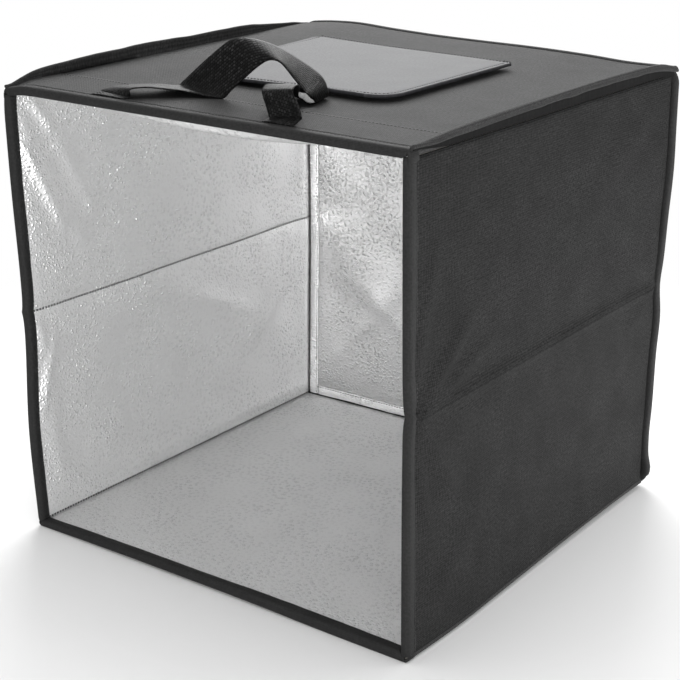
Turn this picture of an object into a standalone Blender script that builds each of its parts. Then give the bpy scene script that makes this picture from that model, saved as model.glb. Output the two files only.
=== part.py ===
"""Folding light tent cube: a bound fabric box, open in front, that folds flat.

Metres, +Z up, +X to the right and +Y to the back, seen from the open front.
The origin is the middle of the floor's underside.  Each wall is a panel of
three plies: a woven cover outside, a stiff board, and a silver lining inside.
The side walls have a crease at half height and fold inwards, so that the roof
comes straight down.  The back panel opens outwards about its lower edge.
"""
import math

import bmesh
import bpy
from mathutils import Matrix, Vector

# Driving dimensions of the box
tent_width = 0.400
tent_depth = 0.400
tent_height = 0.400

# Plies of one panel, from outside to inside
cover_thickness = 0.0008
board_thickness = 0.0030
lining_thickness = 0.0006
ply_gap = 0.0003

# Gap between two panels at a fabric fold, and how far outside the crease turns
seam_gap = 0.0006
crease_offset = 0.0005

# Tape folded over the panels' free edges
binding_thickness = 0.0008
binding_outer_width = 0.010
binding_inner_width = 0.008
binding_corner_radius = 0.0014

# Bound seams on the roof's side edges.  The left one stands, the right one is
# folded over outwards.
seam_fin_height = 0.0118
seam_fin_thickness = 0.0024
seam_fin_edge_inset = 0.0015
seam_fin_bend_radius = 0.0015
seam_fin_end_taper = 0.050
seam_fin_least_blade = 0.0010
left_seam_lean = 4
right_seam_lean = 128
left_seam_stem = 0.0004
right_seam_stem = 0.0014

# Back panel, and the flanges that lie on its lining inside the box
back_overhang = 0.004
flange_width = 0.011
flange_thickness = 0.0006
flange_wall_gap = 0.0004

# Top hatch: a flap over a window in the roof, sewn down along its back edge
hatch_width = 0.216
hatch_length = 0.186
hatch_corner_radius = 0.022
hatch_offset_x = -0.012
hatch_offset_y = 0.012
hatch_sewn_width = 0.009
hatch_board_thickness = 0.0010
window_margin = 0.018
window_corner_radius = 0.010
tape_width = 0.010
tape_thickness = 0.0007
tape_side_inset = 0.028
tape_edge_inset = 0.005

# Carrying handle: a loop of webbing whose ends are sewn near the roof's front
# edge.  It lies collapsed on the roof: flat on the left, an arch in the middle,
# and on the right a turn under itself that comes forward to its sewn end.
webbing_width = 0.032
webbing_thickness = 0.0016
handle_offset_x = -0.016
handle_span = 0.188
handle_reach = 0.068
handle_rise = 0.0340
handle_clearance = 0.0004
anchor_length = 0.012
anchor_inset = 0.0005
reinforcement_depth = 0.050
reinforcement_thickness = 0.0006
reinforcement_side_inset = 0.012

# How finely round shapes are divided
corner_steps = 6
fin_stations = 24
strap_steps = 5

# Places worked out from the sizes above
half_width = tent_width / 2
half_depth = tent_depth / 2
half_height = tent_height / 2
board_start = cover_thickness + ply_gap
lining_start = board_start + board_thickness + ply_gap
panel_thickness = lining_start + lining_thickness
back_inner_y = half_depth - panel_thickness
floor_end_y = back_inner_y - ply_gap
flange_front_y = floor_end_y - flange_thickness
wall_end_y = flange_front_y - ply_gap
roof_end_y = wall_end_y
roof_base_z = tent_height - panel_thickness
lower_fold_z = panel_thickness + seam_gap / 2
upper_fold_z = roof_base_z - seam_gap / 2
crease_x = half_width + crease_offset
fold_x = half_width - panel_thickness
roof_front_y = -half_depth + binding_outer_width + ply_gap
reinforcement_z = tent_height + ply_gap
anchor_z = reinforcement_z + reinforcement_thickness + ply_gap
anchor_front_y = roof_front_y + anchor_inset
anchor_back_y = anchor_front_y + anchor_length
strap_origin_y = anchor_back_y + handle_clearance
strap_origin_z = anchor_z + webbing_thickness / 2
handle_hinge_y = anchor_front_y
handle_hinge_z = anchor_z + webbing_thickness + handle_clearance
hatch_front_y = hatch_offset_y - hatch_length / 2
hatch_back_y = hatch_offset_y + hatch_length / 2
hatch_hinge_y = hatch_back_y - hatch_sewn_width
loop_tape_z = tent_height + ply_gap
hook_tape_z = loop_tape_z + tape_thickness + ply_gap
hatch_lining_z = hook_tape_z + tape_thickness + ply_gap
hatch_board_z = hatch_lining_z + lining_thickness + ply_gap
hatch_cover_z = hatch_board_z + hatch_board_thickness + ply_gap
hatch_top_z = hatch_cover_z + cover_thickness

# The strap's route, from its left end to its right end.  Each row is a place, as
# shares of the span, the reach behind the sewn ends and the rise, and then the
# way the webbing's width points there.
strap_route_shares = (
    ((-0.500, 0.000, 0.00), (1.00, 0.00, 0.00)),
    ((-0.481, 0.114, 0.01), (0.94, -0.34, 0.00)),
    ((-0.409, 0.166, 0.02), (0.76, -0.65, -0.02)),
    ((-0.268, 0.258, 0.06), (0.62, -0.78, -0.09)),
    ((-0.148, 0.382, 0.24), (0.74, -0.50, -0.45)),
    ((-0.069, 0.580, 0.50), (0.70, -0.02, -0.71)),
    ((0.007, 0.697, 0.80), (0.68, 0.10, -0.72)),
    ((0.074, 0.784, 0.96), (0.70, -0.20, -0.68)),
    ((0.149, 0.842, 1.03), (0.50, -0.78, -0.36)),
    ((0.218, 0.891, 0.87), (0.24, -0.96, -0.14)),
    ((0.289, 0.939, 0.57), (0.05, -0.99, -0.12)),
    ((0.341, 0.973, 0.35), (0.16, -0.98, 0.00)),
    ((0.364, 0.959, 0.14), (0.42, -0.90, 0.05)),
    ((0.338, 0.930, 0.03), (0.64, -0.76, 0.02)),
    ((0.325, 0.755, 0.08), (0.84, -0.54, 0.00)),
    ((0.355, 0.522, 0.30), (0.95, -0.28, 0.04)),
    ((0.396, 0.216, 0.53), (0.97, 0.16, 0.05)),
    ((0.448, -0.042, 0.54), (0.98, 0.12, 0.02)),
    ((0.483, -0.146, 0.36), (0.98, 0.08, 0.00)),
    ((0.489, -0.143, 0.07), (0.98, 0.08, 0.00)),
)


def material(name, colour, roughness, metallic=0.0):
    """A plain Principled BSDF for one kind of cloth, board or tape."""
    made = bpy.data.materials.new(name)
    made.use_nodes = True
    shader = made.node_tree.nodes["Principled BSDF"]
    shader.inputs["Base Color"].default_value = (*colour, 1.0)
    shader.inputs["Roughness"].default_value = roughness
    shader.inputs["Metallic"].default_value = metallic
    return made


def clear_scene():
    for old in list(bpy.data.objects):
        bpy.data.objects.remove(old, do_unlink=True)


def hinge(name, place, parent=None):
    """An empty on a joint's axis, which carries the pieces of one moving body."""
    empty = bpy.data.objects.new(name, None)
    bpy.context.collection.objects.link(empty)
    empty.location = place
    if parent is not None:
        empty.parent = parent
        empty.location = Vector(place) - world_place(parent)
    return empty


def world_place(item):
    """World place of an unturned empty, from the chain of its parents."""
    place = Vector(item.location)
    while item.parent is not None:
        item = item.parent
        place += item.location
    return place


def finish(name, shape, look, body=None):
    """Turn a bmesh in world coordinates into a named object on its body."""
    bmesh.ops.recalc_face_normals(shape, faces=shape.faces)
    if shape.calc_volume(signed=True) < 0:
        bmesh.ops.reverse_faces(shape, faces=shape.faces)
    mesh = bpy.data.meshes.new(name)
    if body is not None:
        bmesh.ops.translate(shape, vec=-world_place(body), verts=shape.verts)
    shape.to_mesh(mesh)
    shape.free()
    mesh.materials.append(look)
    mesh.shade_smooth()
    mesh.set_sharp_from_angle(angle=math.radians(35))
    piece = bpy.data.objects.new(name, mesh)
    bpy.context.collection.objects.link(piece)
    piece.parent = body
    return piece


def prism(outline, low, high):
    """A flat outline in X and Y, extruded along Z from low to high."""
    shape = bmesh.new()
    base = [shape.verts.new((across, along, low)) for across, along in outline]
    face = shape.faces.new(base)
    grown = bmesh.ops.extrude_face_region(shape, geom=[face])
    top = [item for item in grown["geom"] if isinstance(item, bmesh.types.BMVert)]
    bmesh.ops.translate(shape, vec=(0, 0, high - low), verts=top)
    return shape


def loft(rings):
    """A closed solid through rings of points, capped at both ends."""
    shape = bmesh.new()
    loops = [[shape.verts.new(point) for point in ring] for ring in rings]
    for near, far in zip(loops, loops[1:]):
        for index in range(len(near)):
            following = (index + 1) % len(near)
            shape.faces.new((near[index], near[following], far[following], far[index]))
    shape.faces.new(loops[0])
    shape.faces.new(loops[-1])
    return shape


def arc(centre, radius, start, end, steps=corner_steps):
    """Points on a circle from one angle to another, in degrees."""
    points = []
    for step in range(steps + 1):
        angle = math.radians(start + (end - start) * step / steps)
        points.append((centre[0] + radius * math.cos(angle), centre[1] + radius * math.sin(angle)))
    return points


def rounded_rectangle(low, high, radius):
    """Outline between two corners, counter-clockwise, with round corners."""
    left, near = low
    right, far = high
    return (
        arc((left + radius, near + radius), radius, 180, 270)
        + arc((right - radius, near + radius), radius, 270, 360)
        + arc((right - radius, far - radius), radius, 0, 90)
        + arc((left + radius, far - radius), radius, 90, 180)
    )


def rectangle(low, high):
    left, near = low
    right, far = high
    return [(left, near), (right, near), (right, far), (left, far)]


def keep_side(outline, line_y, front):
    """The part of a convex outline in front of, or behind, a line across Y."""
    sign = -1 if front else 1
    kept = []
    for index, point in enumerate(outline):
        previous = outline[index - 1]
        inside = sign * (point[1] - line_y) >= 0
        was_inside = sign * (previous[1] - line_y) >= 0
        if inside != was_inside:
            share = (line_y - previous[1]) / (point[1] - previous[1])
            kept.append((previous[0] + share * (point[0] - previous[0]), line_y))
        if inside:
            kept.append(point)
    return kept


class Panel:
    """One stiff wall.  Its own axes run along its front edge, away from that
    edge across the wall, and inwards from its outer face."""

    def __init__(self, name, corner, along, away, length, depth, body=None):
        self.name = name
        self.length = length
        self.depth = depth
        self.body = body
        along = Vector(along)
        away = Vector(away)
        inward = along.cross(away)
        self.frame = Matrix.Translation(corner) @ Matrix((along, away, inward)).transposed().to_4x4()

    def ply(self, kind, look, start, thickness, low, high):
        """One flat ply between two corners, at its depth in the wall."""
        shape = prism(rectangle(low, high), start, start + thickness)
        shape.transform(self.frame)
        return finish(f"{self.name}_{kind}", shape, look, self.body)

    def plies(self, edges):
        """Cover, board and lining.  edges says which edges are bound."""
        outer = binding_outer_width + ply_gap
        inner = binding_inner_width + ply_gap
        web = binding_thickness + ply_gap
        for kind, look, start, thickness, inset in (
            ("cover", cover_cloth, 0, cover_thickness, outer),
            ("board", stiff_board, board_start, board_thickness, web),
            ("lining", silver_lining, lining_start, lining_thickness, inner),
        ):
            low = (inset if "start" in edges else 0, inset if "near" in edges else 0)
            high = (
                self.length - (inset if "end" in edges else 0),
                self.depth - (inset if "far" in edges else 0),
            )
            self.ply(kind, look, start, thickness, low, high)

    def binding(self, name, edge="near", inset=0):
        """Tape folded round one free edge, as a channel."""
        turns = {
            "near": Matrix.Identity(4),
            "far": Matrix.Translation((self.length, self.depth, 0)) @ Matrix.Rotation(math.pi, 4, "Z"),
            "end": Matrix.Translation((self.length, 0, 0)) @ Matrix.Rotation(math.pi / 2, 4, "Z"),
            "start": Matrix.Translation((0, self.depth, 0)) @ Matrix.Rotation(-math.pi / 2, 4, "Z"),
        }
        length = self.length if edge in ("near", "far") else self.depth
        shape = prism(channel_profile(), inset, length - inset)
        lay_along = Matrix(((0, 0, 1, 0), (1, 0, 0, 0), (0, 1, 0, 0), (0, 0, 0, 1)))
        shape.transform(self.frame @ turns[edge] @ lay_along)
        return finish(name, shape, binding_tape, self.body)


def channel_profile():
    """Section of a binding: an outer leg, a web with round corners, an inner leg."""
    radius = binding_corner_radius
    inner_face = panel_thickness - lining_thickness
    return (
        [(binding_outer_width, cover_thickness), (binding_outer_width, 0)]
        + arc((radius, radius), radius, 270, 180)
        + arc((radius, panel_thickness - radius), radius, 180, 90)
        + [(binding_inner_width, panel_thickness), (binding_inner_width, inner_face)]
        + [(binding_thickness, inner_face), (binding_thickness, cover_thickness)]
    )


def side_wall(side, part, low_z, high_z, body):
    """Half of a side wall, below or above its crease, with its front binding."""
    length = high_z - low_z
    depth = half_depth + wall_end_y
    if side == "left":
        wall = Panel(
            f"left_{part}", (-half_width, -half_depth, high_z), (0, 0, -1), (0, 1, 0), length, depth, body
        )
    else:
        wall = Panel(
            f"right_{part}", (half_width, -half_depth, low_z), (0, 0, 1), (0, 1, 0), length, depth, body
        )
    wall.plies(("near",))
    wall.binding(f"{side}_{part}_front_binding")


def fin_section(stem, lean, blade):
    """Outline of a fin across its length, outwards and up: a stem, a bend
    through lean degrees, and a blade with a round tip."""
    half = seam_fin_thickness / 2
    bend = arc((seam_fin_bend_radius, stem), seam_fin_bend_radius, 180, 180 - lean)
    along = math.radians(lean)
    tip = (bend[-1][0] + math.sin(along) * blade, bend[-1][1] + math.cos(along) * blade)
    path = [(0, 0)] + bend + [tip]
    turns = [0] + [lean * step / corner_steps for step in range(corner_steps + 1)] + [lean]
    inner = []
    outer = []
    for (outwards, up), turn in zip(path, turns):
        side = math.cos(math.radians(turn)) * half
        rise = math.sin(math.radians(turn)) * half
        inner.append((outwards - side, up + rise))
        outer.append((outwards + side, up - rise))
    return inner[:-1] + arc(tip, half, 180 - lean, -lean) + outer[-2::-1]


def seam_fin(name, side, lean, stem, body):
    """Seam allowances of roof and side wall, bound with tape, as a fin on the
    roof's edge.  It turns outwards through lean degrees and runs out at both ends."""
    outward = -1 if side == "left" else 1
    root_x = half_width - seam_fin_edge_inset
    full_blade = seam_fin_height - stem - seam_fin_bend_radius * math.radians(lean) - seam_fin_thickness / 2
    front = -half_depth + binding_outer_width
    length = wall_end_y - front
    rings = []
    for station in range(fin_stations + 1):
        share = station / fin_stations
        to_end = min(share, 1 - share) * length / seam_fin_end_taper
        fullness = math.sin(min(to_end, 1) * math.pi / 2)
        blade = seam_fin_least_blade + (full_blade - seam_fin_least_blade) * fullness
        ring_y = front + share * length
        rings.append(
            [
                (outward * (root_x + outwards), ring_y, tent_height + ply_gap + up)
                for outwards, up in fin_section(stem, lean, blade)
            ]
        )
    return finish(name, loft(rings), binding_tape, body)


def box_between(low, high):
    """A plain block between two corners."""
    return prism(rectangle(low[:2], high[:2]), low[2], high[2])


def build_shell(bodies):
    """Floor, side walls, roof and back panel."""
    across_z = tent_height - 2 * panel_thickness
    floor = Panel(
        "floor", (-half_width, -half_depth, 0), (1, 0, 0), (0, 1, 0), tent_width, half_depth + floor_end_y
    )
    floor.plies(("near",))
    floor.binding("floor_front_binding")

    for side in ("left", "right"):
        crease = panel_thickness + across_z / 2
        side_wall(side, "lower", panel_thickness + seam_gap, crease - seam_gap / 2, bodies[f"{side}_lower"])
        side_wall(side, "upper", crease + seam_gap / 2, roof_base_z - seam_gap, bodies[f"{side}_upper"])

    roof = Panel(
        "roof",
        (half_width, -half_depth, tent_height),
        (-1, 0, 0),
        (0, 1, 0),
        tent_width,
        half_depth + roof_end_y,
        bodies["roof"],
    )
    roof.plies(("near",))
    roof.binding("roof_front_binding")

    back = Panel(
        "back",
        (-half_width - back_overhang, half_depth, 0),
        (1, 0, 0),
        (0, 0, 1),
        tent_width + 2 * back_overhang,
        tent_height,
        bodies["back"],
    )
    back.plies(("near", "far", "start", "end"))
    cut_back = binding_outer_width + ply_gap
    for edge, name, inset in (
        ("start", "left", 0),
        ("end", "right", 0),
        ("near", "bottom", cut_back),
        ("far", "top", cut_back),
    ):
        back.binding(f"back_{name}_binding", edge, inset)


def build_flanges(bodies):
    """Silver flanges over the back panel's inner edges, which close it."""
    reach = fold_x - flange_wall_gap
    low_z = panel_thickness + ply_gap
    high_z = roof_base_z - ply_gap
    for side, outward in (("left", -1), ("right", 1)):
        outer = outward * reach
        inner = outward * (reach - flange_width)
        shape = box_between(
            (min(outer, inner), flange_front_y, low_z), (max(outer, inner), floor_end_y, high_z)
        )
        finish(f"back_{side}_flange", shape, silver_lining, bodies["back"])
    side_clear = reach - flange_width - ply_gap
    for name, body, base, top in (
        ("floor_back_flange", None, low_z, low_z + flange_width),
        ("roof_back_flange", bodies["roof"], high_z - flange_width, high_z),
    ):
        shape = box_between((-side_clear, flange_front_y, base), (side_clear, floor_end_y, top))
        finish(name, shape, silver_lining, body)


def outlined_slab(name, outline, base, thickness, look, body=None):
    return finish(name, prism(outline, base, base + thickness), look, body)


def hatch_outline(inset=0):
    """The flap's outline with round corners, or one that lies inside it."""
    half = hatch_width / 2 - inset
    reach = hatch_length / 2 - inset
    return rounded_rectangle(
        (hatch_offset_x - half, hatch_offset_y - reach),
        (hatch_offset_x + half, hatch_offset_y + reach),
        hatch_corner_radius - inset,
    )


def cut_window():
    """Cut the hatch's window through the three plies of the roof."""
    half = hatch_width / 2 - window_margin
    reach = hatch_length / 2 - window_margin
    outline = rounded_rectangle(
        (hatch_offset_x - half, hatch_offset_y - reach),
        (hatch_offset_x + half, hatch_offset_y + reach),
        window_corner_radius,
    )
    cutter = outlined_slab(
        "window_cutter", outline, roof_base_z - panel_thickness, 3 * panel_thickness, stiff_board
    )
    cutter.hide_render = True
    cutter.display_type = "WIRE"
    for kind in ("cover", "board", "lining"):
        cut = bpy.data.objects[f"roof_{kind}"].modifiers.new("window", "BOOLEAN")
        cut.operation = "DIFFERENCE"
        cut.solver = "EXACT"
        cut.object = cutter


def build_hatch(bodies):
    """The window's flap, its sewn back edge and its hook and loop tapes."""
    flap_edge = hatch_hinge_y - ply_gap / 2
    for kind, base, thickness, inset, look in (
        ("lining", hatch_lining_z, lining_thickness, 0, silver_lining),
        ("board", hatch_board_z, hatch_board_thickness, ply_gap, stiff_board),
        ("cover", hatch_cover_z, cover_thickness, 0, flap_cloth),
    ):
        outline = keep_side(hatch_outline(inset), flap_edge, front=True)
        outlined_slab(f"hatch_{kind}", outline, base, thickness, look, bodies["hatch"])
    sewn = keep_side(hatch_outline(), hatch_hinge_y + ply_gap / 2, front=False)
    outlined_slab("hatch_sewn_edge", sewn, loop_tape_z, hatch_top_z - loop_tape_z, flap_cloth, bodies["roof"])
    half = hatch_width / 2 - tape_side_inset
    tape = rectangle(
        (hatch_offset_x - half, hatch_front_y + tape_edge_inset),
        (hatch_offset_x + half, hatch_front_y + tape_edge_inset + tape_width),
    )
    outlined_slab("hatch_loop_tape", tape, loop_tape_z, tape_thickness, fastener_tape, bodies["roof"])
    outlined_slab("hatch_hook_tape", tape, hook_tape_z, tape_thickness, fastener_tape, bodies["hatch"])


def smooth_route(points, steps):
    """Points on a smooth curve through the given ones."""
    points = [Vector(point) for point in points]
    ends = [2 * points[0] - points[1]] + points + [2 * points[-1] - points[-2]]
    route = []
    for before, start, end, after in zip(ends, ends[1:], ends[2:], ends[3:]):
        for step in range(steps):
            share = step / steps
            pull = (end - before) / 2
            push = (after - start) / 2
            bend = 3 * (end - start) - 2 * pull - push
            settle = 2 * (start - end) + pull + push
            route.append(start + pull * share + bend * share**2 + settle * share**3)
    return route + [points[-1]]


def build_handle(bodies):
    """The patch that stiffens the roof, the sewn ends, and the loose strap."""
    patch = rectangle(
        (-half_width + reinforcement_side_inset, roof_front_y),
        (half_width - reinforcement_side_inset, roof_front_y + reinforcement_depth),
    )
    outlined_slab(
        "handle_reinforcement", patch, reinforcement_z, reinforcement_thickness, cover_cloth, bodies["roof"]
    )
    half = webbing_width / 2
    for side, outward in (("left", -1), ("right", 1)):
        centre = handle_offset_x + outward * handle_span / 2
        sewn = rectangle((centre - half, anchor_front_y), (centre + half, anchor_front_y + anchor_length))
        outlined_slab(f"handle_{side}_anchor", sewn, anchor_z, webbing_thickness, webbing, bodies["roof"])

    base = Vector((handle_offset_x, strap_origin_y, strap_origin_z))
    scale = Vector((handle_span, handle_reach, handle_rise))
    centres = smooth_route([base + scale * Vector(place) for place, width in strap_route_shares], strap_steps)
    widths = smooth_route([width for place, width in strap_route_shares], strap_steps)
    rings = []
    for index, centre in enumerate(centres):
        heading = centres[min(index + 1, len(centres) - 1)] - centres[max(index - 1, 0)]
        across = widths[index].normalized() * half
        up = heading.cross(across).normalized() * webbing_thickness / 2
        edge = across.normalized() * webbing_thickness / 2
        inner = across - edge
        rings.append(
            [
                centre - across,
                centre - inner - up,
                centre + inner - up,
                centre + across,
                centre + inner + up,
                centre - inner + up,
            ]
        )
    finish("handle_strap", loft(rings), webbing, bodies["handle"])


bodies = {}
clear_scene()
cover_cloth = material("woven polyester cover", (0.030, 0.030, 0.034), 0.85)
flap_cloth = material("coated nylon flap", (0.145, 0.145, 0.165), 0.55)
stiff_board = material("grey board", (0.35, 0.33, 0.30), 0.9)
silver_lining = material("embossed silver film", (0.72, 0.72, 0.73), 0.35, 0.8)
binding_tape = material("black binding tape", (0.018, 0.018, 0.020), 0.8)
webbing = material("black polypropylene webbing", (0.008, 0.008, 0.009), 0.6)
fastener_tape = material("hook and loop tape", (0.012, 0.012, 0.013), 0.95)

bodies["left_lower"] = hinge("left_lower_hinge", (-fold_x, 0, lower_fold_z))
bodies["left_upper"] = hinge("left_crease", (-crease_x, 0, half_height), bodies["left_lower"])
bodies["roof"] = hinge("left_roof_hinge", (-fold_x, 0, upper_fold_z), bodies["left_upper"])
bodies["right_lower"] = hinge("right_lower_hinge", (fold_x, 0, lower_fold_z))
bodies["right_upper"] = hinge("right_crease", (crease_x, 0, half_height), bodies["right_lower"])
bodies["back"] = hinge("back_hinge", (0, half_depth, 0))
bodies["hatch"] = hinge("hatch_hinge", (hatch_offset_x, hatch_hinge_y, hatch_top_z), bodies["roof"])
bodies["handle"] = hinge("handle_hinge", (handle_offset_x, handle_hinge_y, handle_hinge_z), bodies["roof"])
build_shell(bodies)
build_flanges(bodies)
seam_fin("left_roof_seam_fin", "left", left_seam_lean, left_seam_stem, bodies["roof"])
seam_fin("right_roof_seam_fin", "right", right_seam_lean, right_seam_stem, bodies["roof"])
build_handle(bodies)
build_hatch(bodies)
cut_window()
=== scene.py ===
"""Light tent cube: cloth, silver film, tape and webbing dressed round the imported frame.

Everything is first laid out on an exact box, in metres, and then pushed by one
field of small shifts, because the real tent bulges and leans a little.
"""

import math

import bpy
import numpy as np
from mathutils import Matrix, Vector


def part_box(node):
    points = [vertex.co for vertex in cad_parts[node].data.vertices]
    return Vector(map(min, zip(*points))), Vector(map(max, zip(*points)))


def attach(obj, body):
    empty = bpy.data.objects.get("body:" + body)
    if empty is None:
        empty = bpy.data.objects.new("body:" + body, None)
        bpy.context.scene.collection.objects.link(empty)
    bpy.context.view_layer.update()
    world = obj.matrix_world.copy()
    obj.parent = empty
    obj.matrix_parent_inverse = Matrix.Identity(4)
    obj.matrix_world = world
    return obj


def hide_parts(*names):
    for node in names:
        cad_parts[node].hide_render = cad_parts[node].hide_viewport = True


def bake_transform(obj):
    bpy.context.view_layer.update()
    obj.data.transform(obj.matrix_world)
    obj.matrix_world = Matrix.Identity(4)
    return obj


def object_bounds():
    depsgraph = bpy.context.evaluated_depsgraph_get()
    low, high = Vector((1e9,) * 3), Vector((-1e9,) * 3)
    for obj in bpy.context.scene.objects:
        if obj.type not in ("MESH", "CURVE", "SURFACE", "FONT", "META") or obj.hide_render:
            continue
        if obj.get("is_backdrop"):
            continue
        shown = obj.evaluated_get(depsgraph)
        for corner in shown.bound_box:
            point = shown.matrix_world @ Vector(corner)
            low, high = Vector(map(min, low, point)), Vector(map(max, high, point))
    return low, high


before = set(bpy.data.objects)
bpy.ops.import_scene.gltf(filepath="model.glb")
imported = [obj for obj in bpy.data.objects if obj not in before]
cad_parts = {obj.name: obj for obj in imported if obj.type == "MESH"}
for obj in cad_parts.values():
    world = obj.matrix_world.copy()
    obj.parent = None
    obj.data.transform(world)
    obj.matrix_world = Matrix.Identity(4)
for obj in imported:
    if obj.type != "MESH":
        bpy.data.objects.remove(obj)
cad_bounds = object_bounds()

mm = 0.001

# The box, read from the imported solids
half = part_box("floor_board")[1].x
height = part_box("roof_cover")[1].z
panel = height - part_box("roof_lining")[0].z
wall_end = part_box("left_upper_cover")[1].y
back_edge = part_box("back_left_binding")[1].y
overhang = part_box("back_right_binding")[1].x - half
crease_z = height / 2
wall_depth = wall_end + half

# Plies of a wall, gaps and webbing, as the part's source has them
cover_thickness = 0.8 * mm
board_depth = 1.2 * mm
board_thickness = 2.6 * mm
lining_depth = 4.4 * mm
lining_thickness = 0.6 * mm
tape_start = 1.3 * mm
seam = 0.3 * mm
webbing_thickness = 1.6 * mm


# Looks


def linear(text):
    """An sRGB hex colour as linear red, green and blue, with an alpha of 1."""
    parts = [int(text[index : index + 2], 16) / 255 for index in (0, 2, 4)]
    return [part / 12.92 if part <= 0.04045 else ((part + 0.055) / 1.055) ** 2.4 for part in parts] + [1.0]


def add(tree, kind, inputs=None, out=0, **settings):
    """Add one node and give back one of its outputs.
    Each input is set to a value, or fed by another node's output."""
    made = tree.nodes.new(kind)
    for name, value in settings.items():
        setattr(made, name, value)
    for socket, value in (inputs or {}).items():
        if isinstance(value, bpy.types.NodeSocket):
            tree.links.new(value, made.inputs[socket])
        else:
            made.inputs[socket].default_value = value
    return made.outputs[out] if made.outputs else None


def new_look(name, colour, roughness, metallic=0.0, shine=0.5, laid="UV"):
    """A Principled material, with its constants on the shader's own sockets."""
    look = bpy.data.materials.new(name)
    look.use_nodes = True
    tree = look.node_tree
    shader = tree.nodes["Principled BSDF"]
    shader.inputs["Base Color"].default_value = linear(colour)
    shader.inputs["Roughness"].default_value = roughness
    shader.inputs["Metallic"].default_value = metallic
    shader.inputs["Specular IOR Level"].default_value = shine
    look.diffuse_color = linear(colour)
    return look, tree, shader, add(tree, "ShaderNodeTexCoord", out=laid)


def maths(tree, operation, *values, clamp=False):
    """One sum of values or outputs."""
    return add(tree, "ShaderNodeMath", dict(enumerate(values)), operation=operation, use_clamp=clamp)


def speckle(tree, where, size, detail, **more):
    """Noise whose spots have about one size."""
    return add(tree, "ShaderNodeTexNoise", {"Vector": where, "Scale": 1 / size, "Detail": detail, **more})


def ramp(tree, value, start, end, low=0.0, high=1.0, **settings):
    """A value that runs from start to end, stretched to run from low to high."""
    spans = {"Value": value, "From Min": start, "From Max": end, "To Min": low, "To Max": high}
    return add(tree, "ShaderNodeMapRange", spans, **settings)


def raise_surface(tree, shader, level, depth, strength=1.0):
    """Bump: a level of about 0 to 1, and the depth that it stands for."""
    bump = add(tree, "ShaderNodeBump", {"Height": level, "Strength": strength, "Distance": depth})
    tree.links.new(bump, shader.inputs["Normal"])


def colour_between(tree, shader, share, dark, light):
    """Base colour between two hex colours, by a share from 0 to 1."""
    ends = {0: share, 6: linear(dark), 7: linear(light)}
    tree.links.new(add(tree, "ShaderNodeMix", ends, out=2, data_type="RGBA"), shader.inputs["Base Color"])


def cloth_look(name, dark, light, roughness, pitch, depth, shine, patch=35 * mm):
    """Woven cloth: crossing threads as bump, and slow changes of tone across it."""
    look, tree, shader, where = new_look(name, light, roughness, shine=shine)
    # a wave texture has 20 / (2 pi) bands to a unit of length
    bands = {"Vector": where, "Scale": 2 * math.pi / (20 * pitch)}
    across, along = (add(tree, "ShaderNodeTexWave", bands, "Fac", bands_direction=way) for way in "XY")
    threads = maths(tree, "MULTIPLY", across, along)
    tone = speckle(tree, where, patch, 5, Roughness=0.6)
    nub = speckle(tree, where, 2.2 * mm, 3)
    share = maths(tree, "MULTIPLY", tone, ramp(tree, nub, 0.3, 0.7, 0.0, 1.3))
    share = maths(tree, "MULTIPLY_ADD", threads, 0.35, share, clamp=True)
    colour_between(tree, shader, share, dark, light)
    raise_surface(tree, shader, maths(tree, "MULTIPLY_ADD", nub, 0.6, threads), depth, 0.7)
    return look


def foil_look(name, dark, light):
    """Silver film laminated to cloth and embossed with pebbles of 3 and 5 mm.
    It is a soft mirror, which sparkles where the pebbles tip the light."""
    look, tree, shader, where = new_look(name, light, 0.33, 0.7)
    bend = add(tree, "ShaderNodeTexNoise", {"Vector": where, "Scale": 1 / (8 * mm), "Detail": 2}, "Color")
    waver = {0: bend, 1: (1.6 * mm, 1.6 * mm, 0), 2: where}
    bent = add(tree, "ShaderNodeVectorMath", waver, operation="MULTIPLY_ADD")

    def domes(pitch, start, end, tall):
        cells = {"Vector": bent, "Scale": 1 / pitch}
        away = add(tree, "ShaderNodeTexVoronoi", cells, voronoi_dimensions="2D", feature="F1")
        return ramp(tree, away, start, end, tall, 0.0, interpolation_type="SMOOTHSTEP")

    small, large = domes(2.9 * mm, 0.05, 0.42, 0.7), domes(5.2 * mm, 0.06, 0.3, 1.0)
    grain = speckle(tree, where, 1.3 * mm, 3)
    amount = ramp(tree, speckle(tree, where, 42 * mm, 2), 0.35, 0.68, 0.3, 1.25)
    raised = maths(tree, "MULTIPLY_ADD", grain, 0.35, maths(tree, "ADD", small, large))
    raise_surface(tree, shader, maths(tree, "MULTIPLY", raised, amount), 0.5 * mm)
    tone = ramp(tree, speckle(tree, where, 70 * mm, 4), 0, 1, 0.75, 0.95)
    # painted reflection: each large pebble's rim is painted darker, for the dark that its tipped slope
    # reflects
    rim = maths(tree, "MULTIPLY", large, maths(tree, "SUBTRACT", 1.0, large))
    rim = maths(tree, "MULTIPLY", rim, amount)
    share = maths(tree, "MULTIPLY_ADD", rim, -1.3, tone, clamp=True)
    colour_between(tree, shader, share, dark, light)
    return look


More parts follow.
